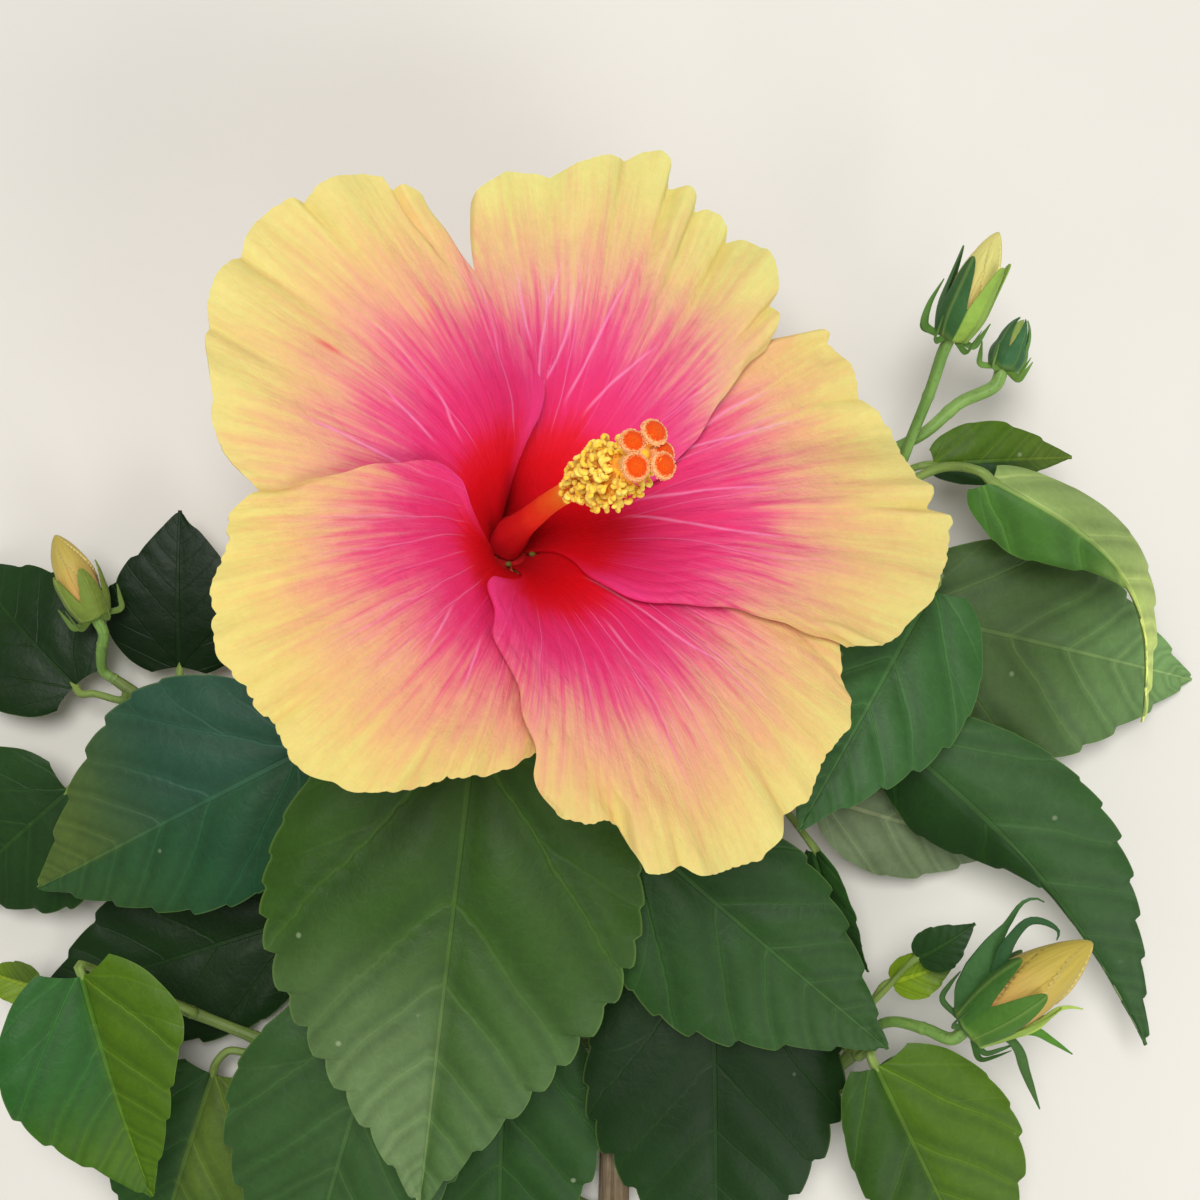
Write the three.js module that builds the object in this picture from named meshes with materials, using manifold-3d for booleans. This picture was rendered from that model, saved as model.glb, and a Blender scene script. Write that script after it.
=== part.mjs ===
import * as THREE from "three";
import { mergeVertices } from "three/addons/utils/BufferGeometryUtils.js";
import Module from "manifold-3d";

const wasm = await Module();
wasm.setup();

// A cut flowering branch lying down. Millimetres, Z up, Y from the cut end towards the bloom.
const SHIFT = [5, 60, 0]; // puts the middle of the part's base at the origin
const GAP = 0.3; // air between neighbouring pieces

const BLOOM = {
  centre: [-18, 10, 48], // middle of the receptacle
  tilt: 26, // lean of the bloom's axis from upright, degrees
  heading: 29, // compass side it leans to, degrees from +X
  clawRadius: 3.9,
  funnelDepth: 34,
  funnelSpread: 13,
  flatFrom: 30, // radius where the rim begins to droop
  droop: 0.0012,
  lift: 1.7, // how far each petal's leading edge stands over its neighbour
  thickness: 0.7,
  ruffle: 1.3,
};

// Centre is the petal's direction, reach its length; spreads to each side are in degrees.
const PETALS = [
  { name: "petal_upper_left", centre: 146, reach: 75, lead: 30, leadThroat: 78, trail: 44,
    leadDrop: 0.22, trailDrop: 0.26, waves: [[1.1, 7, 0.4], [0.8, 15, 1.0]] },
  { name: "petal_top", centre: 76, reach: 72, lead: 33, leadThroat: 66, trail: 31,
    leadDrop: 0.2, trailDrop: 0.12, waves: [[1.8, 8, 1.6], [0.9, 17, 0.2]] },
  { name: "petal_right", centre: 8, reach: 79, lead: 29, leadThroat: 70, trail: 32,
    leadDrop: 0.25, trailDrop: 0.16, waves: [[1.8, 9, 1.2], [0.8, 16, 2.2]] },
  { name: "petal_lower_right", centre: 302, reach: 73, lead: 34, leadThroat: 104, trail: 41,
    leadDrop: 0.3, trailDrop: 0.2, waves: [[1.0, 9, 2.4], [0.9, 16, 0.8]] },
  { name: "petal_lower_left", centre: 222, reach: 70, lead: 38, leadThroat: 84, trail: 44,
    leadDrop: 0.16, trailDrop: 0.42, waves: [[1.0, 8, 0.9], [0.8, 15, 2.6]] },
];

const COLUMN = { length: 68, antherFrom: 31, antherTo: 57, radius: 1.9, antherSpread: 5.6, bow: 1.5 };

const STEMS = {
  main_stem: {
    points: [[-4, -205, 4], [2, -150, 6], [3, -100, 7.5], [0, -60, 9], [6, -20, 10], [24, 6, 15],
      [46, 19, 21], [60, 26, 26]],
    radii: [4, 1.6], sides: 10, steps: 20,
  },
  twig_left: {
    on: "main_stem", at: 0.425, points: [[-30, -72, 9], [-60, -50, 11], [-88, -28, 13], [-104, -16, 16]],
    radii: [2.1, 1.1], sides: 7, steps: 10,
  },
  twig_low_left: {
    on: "main_stem", at: 0.28, points: [[-30, -115, 8], [-60, -100, 10], [-92, -86, 13]],
    radii: [2.0, 1.1], sides: 7, steps: 9,
  },
  twig_low_right: {
    on: "main_stem", at: 0.31, points: [[30, -112, 9], [50, -100, 14], [57, -91, 19]],
    radii: [1.9, 1.2], sides: 7, steps: 9,
  },
};

// Base and tip are the ends of each midrib; via are points its stalk passes on the way there.
// Left and right are the half widths seen from the base; slim narrows one beyond its first third.
const LEAVES = [
  { name: "leaf_front", on: "main_stem", at: 0.62, via: [[-12, -32, 30]], base: [-25, -27, 44],
    tip: [-36, -121, 40], right: 39, left: 40, arch: 0.02, fold: 0.03, cup: 0.1, heart: 0.08, rows: 14 },
  { name: "leaf_left", on: "twig_left", at: 0.55, via: [[-61, -40, 25]], base: [-61, -31, 35],
    tip: [-117, -60, 23], right: 27, left: 22, arch: 0.05, fold: 0.05, cup: 0.12, heart: 0.06 },
  { name: "leaf_low_left", on: "twig_low_left", at: 0.95, via: [[-100, -79, 24]], base: [-105.5, -75.5, 34],
    tip: [-92, -122.5, 29], right: 21, left: 20, slimLeft: 0.3, arch: 0.05, fold: 0.3, cup: 0.1, heart: 0.08 },
  { name: "leaf_under_left", on: "twig_low_left", at: 0.42, via: [[-43, -95, 15]], base: [-45, -85, 24],
    tip: [-64.5, -151.5, 15], right: 27, left: 25, arch: 0.04, fold: 0.05, cup: 0.1, heart: 0.06 },
  { name: "leaf_under_mid", on: "main_stem", at: 0.49, via: [[-9, -78, 14]], base: [-20, -86.5, 16],
    tip: [-22, -152, 8], right: 21, left: 22, arch: 0.06, fold: 0.04, cup: 0.1, heart: 0.05 },
  { name: "leaf_right_low", on: "main_stem", at: 0.66, via: [[7, -34, 24]], base: [8, -48, 35],
    tip: [59, -92, 30], right: 26, left: 19.5, arch: 0.04, fold: 0.06, cup: 0.12, heart: 0.05 },
  { name: "leaf_low_mid", on: "main_stem", at: 0.53, via: [[12, -66, 17]], base: [23.5, -74, 21],
    tip: [25, -147, 12], right: 28, left: 28, arch: 0.05, fold: 0.05, cup: 0.12, heart: 0.06 },
  { name: "leaf_right_mid", on: "main_stem", at: 0.93, via: [[58, 10, 27]], base: [68.5, 3, 30],
    tip: [39.5, -46, 41], right: 17, left: 19.5, arch: 0.02, fold: 0.06, cup: 0.12, heart: 0.04 },
  { name: "leaf_right_big", on: "main_stem", at: 0.88, via: [[52, 4, 18]], base: [64, -2.5, 21],
    tip: [130, -17.5, 0.5], right: 27, left: 21, arch: 0.1, fold: 0.05, cup: 0.12, heart: 0.05 },
  { name: "leaf_right_long", on: "main_stem", at: 0.82, via: [[44, -12, 21]], base: [60.5, -28.5, 27],
    tip: [116, -94.5, 15], right: 13.5, left: 20, slimRight: 0.93, bend: 0.06, arch: 0.03, foldRight: -0.6,
    foldLeft: 0.12, cup: 0.1, heart: 0.03, peak: 0.36, rows: 12 },
  { name: "leaf_right_droop", on: "main_stem", at: 0.975, via: [[70, 27, 33]], base: [77.5, 24.5, 38],
    tip: [114, -25.5, 20], right: 13, left: 8.5, slimRight: 0.95, bend: 0.17, arch: 0.12, foldRight: -0.35,
    foldLeft: -0.9, cup: 0.05, heart: 0.02, rows: 12 },
  { name: "leaf_top_small", on: "main_stem", at: 0.95, via: [[64, 27, 25]], base: [68.5, 28, 26],
    tip: [99, 30, 20], right: 5, left: 8.5, arch: 0.08, fold: 0.05, cup: 0.1, heart: 0.03, rows: 6 },
  { name: "leaf_back_pale", on: "main_stem", at: 0.66, via: [[22, -36, 11]], base: [48, -42.5, 13],
    tip: [88.5, -55, 0.5], right: 12.5, left: 12, arch: 0.06, fold: 0.04, cup: 0.1, heart: 0.04, rows: 6 },
  { name: "leaf_edge_on", on: "main_stem", at: 0.74, via: [[24, -28, 16], [38, -43, 22]],
    base: [44.5, -52, 24], tip: [57, -79, 15], right: 5, left: 5.5, arch: 0.05, fold: 0.1, cup: 0.1,
    roll: 50, heart: 0.03, rows: 6 },
  { name: "leaf_low_right", on: "twig_low_right", at: 0.93, via: [[56.5, -93, 24]], base: [56.5, -95.5, 27],
    tip: [82.5, -148.5, 16], right: 14, left: 22, arch: 0.06, fold: 0.1, cup: 0.12, heart: 0.04 },
  { name: "leaf_low_right_back", on: "twig_low_right", at: 0.7, via: [[50, -106, 10]],
    base: [58, -105, 9], tip: [91, -118, 0.5], right: 12, left: 12, arch: 0.06, fold: 0.05, cup: 0.1,
    heart: 0.03, rows: 6 },
  { name: "leaf_left_back", on: "twig_left", at: 0.84, via: [[-90, -22, 13]], base: [-90, -15, 12],
    tip: [-89, 19, 16], right: 16, left: 16, arch: 0.06, fold: 0.05, cup: 0.1, heart: 0.04, rows: 6 },
  { name: "leaf_left_far", on: "twig_left", at: 0.96, via: [[-108, -20, 13]], base: [-112, -19, 12],
    tip: [-138, 8, 0.5], right: 16, left: 17, arch: 0.1, fold: 0.05, cup: 0.1, heart: 0.04, rows: 6 },
  { name: "leaf_left_edge", on: "twig_left", at: 0.8, via: [[-100, -34, 15]], base: [-112, -40, 17],
    tip: [-140, -64, 6], right: 20, left: 20, arch: 0.06, fold: 0.05, cup: 0.1, heart: 0.04, rows: 6 },
  { name: "leaf_dark_behind", on: "twig_low_left", at: 0.6, via: [[-62, -86, 7]], base: [-65, -69, 6],
    tip: [-124, -88, 0.5], right: 22, left: 20, arch: 0.03, fold: 0.03, cup: 0.05, heart: 0.05 },
  { name: "leaf_low_back", on: "twig_low_left", at: 0.8, via: [[-80, -97, 10]], base: [-83, -101, 10],
    tip: [-98, -148, 4], right: 18, left: 18, arch: 0.05, fold: 0.05, cup: 0.1, heart: 0.04, rows: 6 },
  { name: "young_leaf_left", on: "twig_low_left", at: 0.99, via: [[-102, -89, 17]], base: [-117, -81, 22],
    tip: [-129, -77, 22], right: 4.5, left: 4.5, arch: 0.1, fold: 0.2, cup: 0, heart: 0, rows: 6 },
  { name: "leaf_small_right", on: "twig_low_right", at: 0.95, via: [[60, -80, 25]], base: [65, -73.5, 30],
    tip: [76, -65.5, 35], right: 5, left: 5, arch: 0.1, fold: 0.2, cup: 0, heart: 0, rows: 6 },
  { name: "young_leaf_right", on: "twig_low_right", at: 0.9, via: [[57, -84, 21]], base: [60.5, -79.5, 24],
    tip: [74, -74, 27], right: 5, left: 5, arch: 0.1, fold: 0.2, cup: 0, heart: 0, rows: 6 },
  { name: "leaf_back_top", on: "main_stem", at: 0.81, via: [[17, 12, 14]], base: [13, 22, 12],
    tip: [18, 62, 0.5], right: 17, left: 17, arch: 0.06, fold: 0.05, cup: 0.1, heart: 0.05, rows: 6 },
  { name: "leaf_back_left", on: "main_stem", at: 0.72, via: [[-4, -2, 12]], base: [-14, 8, 12],
    tip: [-50, 45, 0.5], right: 20, left: 20, arch: 0.06, fold: 0.05, cup: 0.1, heart: 0.05, rows: 6 },
];

// Furled buds: the stalk leaves its stem at a fraction of its length, or follows on from its end.
const BUDS = {
  bud_top: { on: "main_stem", at: 1, via: [[64, 34, 31], [67, 43, 36]], base: [69.6, 51.6, 40],
    tip: [77.8, 71.8, 50], petalRadius: 4.2, sepalRadius: 5.2, sepals: 0.8, stalk: [1.3, 1.6], bracts: 12 },
  bud_side: { on: "main_stem", at: 0.985, via: [[67, 34.5, 27.5], [74, 40.5, 28.5]], base: [82, 46.3, 30],
    tip: [86.5, 57.3, 31], petalRadius: 2.4, sepalRadius: 3.9, sepals: 1.02, stalk: [1.3, 1.8], bracts: 8 },
  bud_low: { on: "twig_low_right", at: 1, via: [[61, -87.5, 25], [67, -88, 30.5]], base: [73.5, -87.7, 34],
    tip: [98.6, -68.4, 40], petalRadius: 6.4, sepalRadius: 6.9, sepals: 0.62, stalk: [1.2, 1.8], bracts: 16 },
  bud_left: { on: "twig_left", at: 1, via: [[-105, -11, 19]], base: [-104.9, -4.6, 22],
    tip: [-112.8, 13.5, 26], petalRadius: 4.2, sepalRadius: 4.9, sepals: 0.6, stalk: [1.1, 1.5], bracts: 9 },
};

const COLOUR = {
  petal: 0xe8648c, column: 0xd8302a, anther: 0xf0c030, stigma: 0xe8501e, sepal: 0x6c9440,
  budPetal: 0xe6c860, leaf: 0x3f6a34, youngLeaf: 0x8fae3c, greenStem: 0x7c9a44, bark: 0x7d6a52,
};

const vec = (p) => new THREE.Vector3(p[0], p[1], p[2]);
const UP = new THREE.Vector3(0, 0, 1);
const rad = THREE.MathUtils.degToRad;

function geometryOf(points, faces) {
  const geometry = new THREE.BufferGeometry();
  geometry.setAttribute("position", new THREE.Float32BufferAttribute(points.flatMap((p) => p.toArray()), 3));
  geometry.setIndex(faces.flat());
  return geometry;
}

function toManifold(geometry) {
  const bare = geometry.clone();
  bare.deleteAttribute("normal");
  bare.deleteAttribute("uv");
  const merged = mergeVertices(bare, 1e-5);
  return new wasm.Manifold(new wasm.Mesh({
    numProp: 3,
    vertProperties: new Float32Array(merged.attributes.position.array),
    triVerts: new Uint32Array(merged.index.array),
  }));
}

function join(geometries) {
  const whole = geometries.map(toManifold).reduce((sum, next) => sum.add(next));
  const mesh = whole.getMesh();
  const geometry = new THREE.BufferGeometry();
  geometry.setAttribute("position", new THREE.Float32BufferAttribute(mesh.vertProperties, 3));
  geometry.setIndex(Array.from(mesh.triVerts));
  return geometry;
}

// A sheet of even thickness about a grid of points.
function sheet(grid, thickness) {
  const rows = grid.length;
  const cols = grid[0].length;
  const top = [];
  const bottom = [];
  grid.forEach((row, i) => row.forEach((point, j) => {
    const along = grid[Math.min(i + 1, rows - 1)][j].clone().sub(grid[Math.max(i - 1, 0)][j]);
    const across = row[Math.min(j + 1, cols - 1)].clone().sub(row[Math.max(j - 1, 0)]);
    const half = along.cross(across).normalize().multiplyScalar(thickness / 2);
    top.push(point.clone().add(half));
    bottom.push(point.clone().sub(half));
  }));
  const upper = (i, j) => i * cols + j;
  const lower = (i, j) => rows * cols + i * cols + j;
  const faces = [];
  const quad = (a, b, c, d) => faces.push([a, b, c], [a, c, d]);
  for (let i = 0; i < rows - 1; i++) {
    for (let j = 0; j < cols - 1; j++) {
      quad(upper(i, j), upper(i + 1, j), upper(i + 1, j + 1), upper(i, j + 1));
      quad(lower(i, j), lower(i, j + 1), lower(i + 1, j + 1), lower(i + 1, j));
    }
    quad(upper(i + 1, 0), upper(i, 0), lower(i, 0), lower(i + 1, 0));
    quad(upper(i, cols - 1), upper(i + 1, cols - 1), lower(i + 1, cols - 1), lower(i, cols - 1));
  }
  for (let j = 0; j < cols - 1; j++) {
    quad(upper(rows - 1, j + 1), upper(rows - 1, j), lower(rows - 1, j), lower(rows - 1, j + 1));
    quad(upper(0, j), upper(0, j + 1), lower(0, j + 1), lower(0, j));
  }
  return geometryOf([...top, ...bottom], faces);
}

// A closed body from rings of points, each end drawn in to a point of its own.
function ringBody(rings, start, end) {
  const count = rings[0].length;
  const points = [...rings.flat(), start, end];
  const faces = [];
  const at = (i, k) => i * count + (k % count);
  const last = rings.length - 1;
  for (let k = 0; k < count; k++) {
    for (let i = 0; i < last; i++) {
      faces.push([at(i, k), at(i, k + 1), at(i + 1, k + 1)], [at(i, k), at(i + 1, k + 1), at(i + 1, k)]);
    }
    faces.push([points.length - 2, at(0, k + 1), at(0, k)]);
    faces.push([points.length - 1, at(last, k), at(last, k + 1)]);
  }
  return geometryOf(points, faces);
}

function tube(points, radii, sides, steps, flat = 1) {
  const curve = new THREE.CatmullRomCurve3(points.map(vec), false, "centripetal");
  const frames = curve.computeFrenetFrames(steps, false);
  const rings = [];
  for (let i = 0; i <= steps; i++) {
    const centre = curve.getPointAt(i / steps);
    const radius = radii[0] + (radii[1] - radii[0]) * (i / steps);
    rings.push(Array.from({ length: sides }, (_, k) => {
      const angle = (2 * Math.PI * k) / sides;
      return centre.clone()
        .addScaledVector(frames.normals[i], radius * Math.cos(angle) * flat)
        .addScaledVector(frames.binormals[i], radius * Math.sin(angle));
    }));
  }
  return { geometry: ringBody(rings, curve.getPointAt(0), curve.getPointAt(1)), curve, radii };
}

// Where a stalk leaves its stem: a point just clear of the bark, and the way out.
function seat(stem, at, towards) {
  const point = stem.curve.getPointAt(at);
  const tangent = stem.curve.getTangentAt(at);
  if (at === 1) return { start: point.clone().addScaledVector(tangent, GAP), out: tangent };
  const out = vec(towards).sub(point);
  out.addScaledVector(tangent, -out.dot(tangent)).normalize();
  const radius = stem.radii[0] + (stem.radii[1] - stem.radii[0]) * at;
  return { start: point.clone().addScaledVector(out, radius + GAP), out };
}

function stalkPoints(stem, at, via) {
  const { start, out } = seat(stem, at, via[0]);
  return [start.toArray(), start.clone().addScaledVector(out, 2).toArray(), ...via];
}

const smooth = (x) => { const t = Math.min(Math.max(x, 0), 1); return t * t * (3 - 2 * t); };

// Half width of a blade along its midrib, as a fraction of its widest.
function ovate(u, peak, slim) {
  const swell = Math.sin(Math.PI * Math.pow(u, Math.log(0.5) / Math.log(peak)));
  return Math.pow(Math.max(swell, 0), u < peak ? 0.7 : 1.08) * (1 - slim * smooth((u - 0.2) / 0.35));
}

function bladeGrid(leaf, rows) {
  const base = vec(leaf.base);
  const length = base.distanceTo(vec(leaf.tip));
  const along = vec(leaf.tip).sub(base).normalize();
  const side = UP.clone().cross(along).normalize().applyAxisAngle(along, rad(leaf.roll ?? 0));
  const up = along.clone().cross(side);
  const grid = [];
  for (let i = 0; i <= rows; i++) {
    const u = 0.02 + (0.98 * i) / rows;
    const tooth = i === 0 || i === rows ? 0 : i % 2 ? 0.05 : -0.05;
    const lobe = leaf.heart * Math.pow(Math.max(0, 1 - u / 0.3), 2);
    const bulge = Math.sin(Math.PI * u) * length;
    grid.push([-1, -0.5, 0, 0.5, 1].map((v) => {
      const [width, slim, fold] = v < 0 ? [leaf.right, leaf.slimRight, leaf.foldRight]
        : [leaf.left, leaf.slimLeft, leaf.foldLeft];
      const edge = Math.abs(v) === 1 ? tooth : 0;
      const y = v * Math.max(width * ovate(u, leaf.peak ?? 0.35, slim ?? 0), 0.35) * (1 + edge);
      const x = length * (u - lobe * Math.pow(Math.abs(v), 1.5) + edge * 0.2);
      const z = leaf.arch * bulge + (fold ?? leaf.fold) * Math.abs(y) - (leaf.cup * y * y) / width;
      return base.clone().addScaledVector(along, x)
        .addScaledVector(side, y + (leaf.bend ?? 0) * bulge).addScaledVector(up, z);
    }));
  }
  return { grid, length, along };
}

function leafSolid(leaf, stems) {
  const { grid, length, along } = bladeGrid(leaf, leaf.rows ?? 8);
  const thickness = Math.max(0.45, length * 0.0105);
  const blade = sheet(grid, thickness);
  const middle = (i) => grid[i][2].toArray();
  const path = [...stalkPoints(stems[leaf.on], leaf.at, leaf.via),
    vec(leaf.base).addScaledVector(along, -1.5).toArray(), middle(1), middle(3)];
  const girth = 0.55 + length * 0.006;
  return join([blade, tube(path, [girth * 1.15, thickness * 0.62], 4, 4).geometry]);
}

// The bloom's own axes: Z along the column, X as near the part's X as the lean allows.
function bloomFrame() {
  const lean = rad(BLOOM.tilt);
  const side = rad(BLOOM.heading);
  const axis = new THREE.Vector3(
    Math.sin(lean) * Math.cos(side), Math.sin(lean) * Math.sin(side), Math.cos(lean));
  const x = new THREE.Vector3(1, 0, 0).addScaledVector(axis, -axis.x).normalize();
  const y = axis.clone().cross(x);
  return { origin: vec(BLOOM.centre), x, y, z: axis };
}

function axesAlong(base, tip) {
  const z = vec(tip).sub(vec(base)).normalize();
  const x = UP.clone().addScaledVector(z, -UP.dot(z)).normalize();
  return { origin: vec(base), x, y: z.clone().cross(x), z, length: vec(base).distanceTo(vec(tip)) };
}

const place = (frame, radius, angle, height) => frame.origin.clone()
  .addScaledVector(frame.x, radius * Math.cos(angle))
  .addScaledVector(frame.y, radius * Math.sin(angle))
  .addScaledVector(frame.z, height);

function funnel(radius) {
  const rise = BLOOM.funnelDepth * (1 - Math.exp(-(radius - 4) / BLOOM.funnelSpread));
  return rise - BLOOM.droop * Math.pow(Math.max(0, radius - BLOOM.flatFrom), 2);
}

// A point beside the funnel: offset is measured square to its wall.
function besideFunnel(frame, radius, angle, offset) {
  const slope = (funnel(radius + 0.05) - funnel(radius - 0.05)) / 0.1;
  const norm = Math.hypot(slope, 1);
  return place(frame, radius - (offset * slope) / norm, angle, funnel(radius) + offset / norm);
}

function petalSolid(petal, frame) {
  const rows = 11;
  const cols = 12;
  const grid = [];
  for (let i = 0; i <= rows; i++) {
    const u = Math.pow(i / rows, 1.25);
    const claw = 0.35 + 0.65 * smooth(u / 0.12);
    const narrowing = Math.pow(1 - u, 2.2);
    const lead = claw * (petal.lead + (petal.leadThroat - petal.lead) * narrowing);
    const trail = claw * (petal.trail + 18 * (1 - u));
    const lift = BLOOM.lift * (0.15 + 0.85 * smooth(u / 0.15));
    grid.push(Array.from({ length: cols + 1 }, (_, j) => {
      const v = (2 * j) / cols - 1;
      const drop = v < 0 ? petal.leadDrop * Math.pow(-v, 2.4) : petal.trailDrop * Math.pow(v, 1.7);
      const wave = petal.waves.reduce((sum, [size, rate, phase]) => sum + size * Math.sin(rate * v + phase), 0);
      const reach = petal.reach * (1 - drop) + wave;
      const radius = BLOOM.clawRadius + (reach - BLOOM.clawRadius) * u;
      const angle = rad(petal.centre + v * (v < 0 ? lead : trail));
      const flutter = BLOOM.ruffle * Math.sin(9 * angle + 0.6) * smooth((u - 0.45) / 0.55);
      return besideFunnel(frame, radius, angle, -lift * v + flutter);
    }));
  }
  return sheet(grid, BLOOM.thickness);
}

// A cup with pointed lobes; wall(s, angle) gives the radius and height of its middle surface.
function lobedCup(frame, wall, thickness, rows, cols) {
  const rings = [];
  const normalAt = (s, angle) => {
    const [r0, h0] = wall(Math.max(s - 0.02, 0), angle);
    const [r1, h1] = wall(Math.min(s + 0.02, 1), angle);
    const norm = Math.hypot(r1 - r0, h1 - h0);
    return [(h1 - h0) / norm, -(r1 - r0) / norm];
  };
  const ring = (s, side) => Array.from({ length: cols }, (_, k) => {
    const angle = (2 * Math.PI * k) / cols;
    const [radius, height] = wall(s, angle);
    const [nr, nh] = normalAt(s, angle);
    return place(frame, radius + (nr * side * thickness) / 2, angle, height + (nh * side * thickness) / 2);
  });
  for (let i = 1; i <= rows; i++) rings.push(ring(i / rows, 1));
  for (let i = rows; i >= 1; i--) rings.push(ring(i / rows, -1));
  const height = wall(0, 0)[1];
  return ringBody(rings, place(frame, 0, 0, height - thickness / 2), place(frame, 0, 0, height + thickness / 2));
}

const lobe = (angle, count = 5) => Math.pow(Math.abs(Math.cos((count * angle) / 2)), 1.3);

function bloomCalyx(frame) {
  const clearance = BLOOM.lift + BLOOM.thickness / 2 + GAP + 0.75;
  const wall = (s, angle) => {
    if (s < 0.25) return [(s / 0.25) * 6.4, -1.4];
    const end = 8 + 9 * lobe(angle);
    const radius = 4.1 + (end - 4.1) * ((s - 0.25) / 0.75);
    const slope = (funnel(radius + 0.05) - funnel(radius - 0.05)) / 0.1;
    const norm = Math.hypot(slope, 1);
    return [radius + (clearance * slope) / norm, funnel(radius) - clearance / norm];
  };
  const cup = lobedCup(frame, wall, 0.9, 5, 20);
  const bracts = Array.from({ length: 6 }, (_, k) => {
    const angle = (2 * Math.PI * k) / 6;
    const path = [[5, -1.4], [9, -1.8], [13, 2], [16, 9]].map(([r, h]) => place(frame, r, angle, h).toArray());
    return tube(path, [1.1, 0.45], 4, 3).geometry;
  });
  return join([cup, ...bracts]);
}

// The column bows a little on its way up the axis.
function columnPoint(frame, height, radius = 0, angle = 0) {
  const bow = COLUMN.bow * Math.sin((Math.PI * height) / COLUMN.length);
  return place(frame, radius, angle, height).addScaledVector(frame.y, bow).addScaledVector(frame.x, -bow * 0.6);
}

function columnTube(frame, from, to, radii, sides, steps) {
  const path = Array.from({ length: 5 }, (_, k) => columnPoint(frame, from + ((to - from) * k) / 4).toArray());
  return tube(path, radii, sides, steps).geometry;
}

function bead(centre, radius, detail = 0) {
  const geometry = new THREE.IcosahedronGeometry(radius, detail);
  geometry.translate(...centre.toArray());
  return geometry;
}

function antherMass(frame) {
  const core = columnTube(frame, COLUMN.antherFrom + GAP, COLUMN.antherTo, [2.6, 2.2], 8, 6);
  const turns = 16;
  const beads = Array.from({ length: turns }, (_, k) => {
    const height = COLUMN.antherFrom + 2.6 + ((COLUMN.antherTo - COLUMN.antherFrom - 4.6) * k) / (turns - 1);
    const angle = k * 2.4;
    const spread = 0.62 + 0.3 * ((k * 7) % 5) / 4;
    const head = columnPoint(frame, height, COLUMN.antherSpread * spread, angle);
    return [bead(head, 1.85),
      tube([columnPoint(frame, height, 1.4, angle).toArray(), head.toArray()], [0.7, 0.6], 4, 1).geometry];
  });
  return join([core, ...beads.flat()]);
}

function stigmaSolid(frame) {
  const from = COLUMN.antherTo + GAP;
  const neck = columnTube(frame, from, 62, [1.5, 1.6], 8, 3);
  const arms = Array.from({ length: 5 }, (_, k) => {
    const angle = rad(20 + 72 * k);
    const pad = columnPoint(frame, 67, 3.5, angle);
    return [tube([columnPoint(frame, 60.5, 0.4, angle).toArray(), columnPoint(frame, 64, 1.8, angle).toArray(),
      pad.toArray()], [0.8, 0.7], 5, 3).geometry, bead(pad, 2.15)];
  });
  return join([neck, ...arms.flat()]);
}

function budParts(name, bud, stems) {
  const frame = axesAlong(bud.base, bud.tip);
  const length = frame.length;
  const start = 2.2;
  const swell = (t) => Math.pow(Math.sin(Math.PI * (0.16 + 0.84 * Math.pow(t, 0.9))), 0.8);
  const petalAt = (height) => bud.petalRadius * swell(Math.min(Math.max((height - start) / (length - start), 0), 1));
  const rows = 6;
  const rings = Array.from({ length: rows }, (_, i) => {
    const t = i / rows;
    const height = start + (length - start) * t;
    return Array.from({ length: 10 }, (__, k) => {
      const angle = (2 * Math.PI * k) / 10;
      const flute = 1 - 0.1 * Math.abs(Math.sin(2.5 * (angle + 1.1 * t)));
      return place(frame, Math.max(petalAt(height) * flute, 0.4), angle, height);
    });
  });
  const petals = ringBody(rings, place(frame, 0, 0, start), place(frame, 0, 0, length));
  const reach = length * bud.sepals;
  const skin = 0.7;
  const wall = (s, angle) => {
    if (s <= 0.2) return [(s / 0.2) * bud.sepalRadius * 0.55, 1.2];
    const t = (s - 0.2) / 0.8;
    const height = 1.2 + (reach * (0.45 + 0.55 * lobe(angle)) - 1.2) * t;
    const belly = bud.sepalRadius * (0.55 + 0.45 * Math.sin(Math.PI * Math.min(0.5, height / (length * 0.7))));
    const close = bud.sepals > 1 ? 1 - 0.82 * smooth((height / length - 0.35) / 0.65) : 1;
    return [Math.max(belly * close, petalAt(height) + skin / 2 + 2 * GAP), height];
  };
  const cup = lobedCup(frame, wall, skin, 5, 12);
  const bracts = Array.from({ length: 5 }, (_, k) => {
    const angle = (2 * Math.PI * (k + 0.4)) / 5;
    const path = [[bud.sepalRadius * 0.45, 1.1], [bud.sepalRadius + 1.5, 0.8], [bud.sepalRadius + 3.2, bud.bracts * 0.45],
      [bud.sepalRadius + 3.0, bud.bracts]].map(([r, h]) => place(frame, r, angle, h).toArray());
    return tube(path, [0.75, 0.35], 4, 3).geometry;
  });
  const foot = place(frame, 0, 0, 0.85 - GAP).toArray();
  const neck = place(frame, 0, 0, -2.5).toArray();
  const stalk = tube([...stalkPoints(stems[bud.on], bud.at, bud.via), neck, foot], bud.stalk, 6, 7).geometry;
  return [
    [`${name}_petals`, petals, COLOUR.budPetal],
    [`${name}_sepals`, join([cup, ...bracts]), COLOUR.sepal],
    [`${name}_stalk`, stalk, COLOUR.greenStem],
  ];
}

function buildStems() {
  const stems = {};
  for (const [name, spec] of Object.entries(STEMS)) {
    const points = spec.on ? [...stalkPoints(stems[spec.on], spec.at, spec.points)] : spec.points;
    stems[name] = tube(points, spec.radii, spec.sides, spec.steps);
  }
  return stems;
}

function flowerStalk(frame, stems) {
  const foot = place(frame, 0, 0, -1.4 - 0.45 - GAP).toArray();
  const neck = place(frame, 0, 0, -6).toArray();
  const via = [[-8, -16, 16], [-20, -3, 28]];
  return tube([...stalkPoints(stems.main_stem, 0.7, via), neck, foot], [1.7, 2.4], 8, 10).geometry;
}

const group = new THREE.Group();

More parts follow.
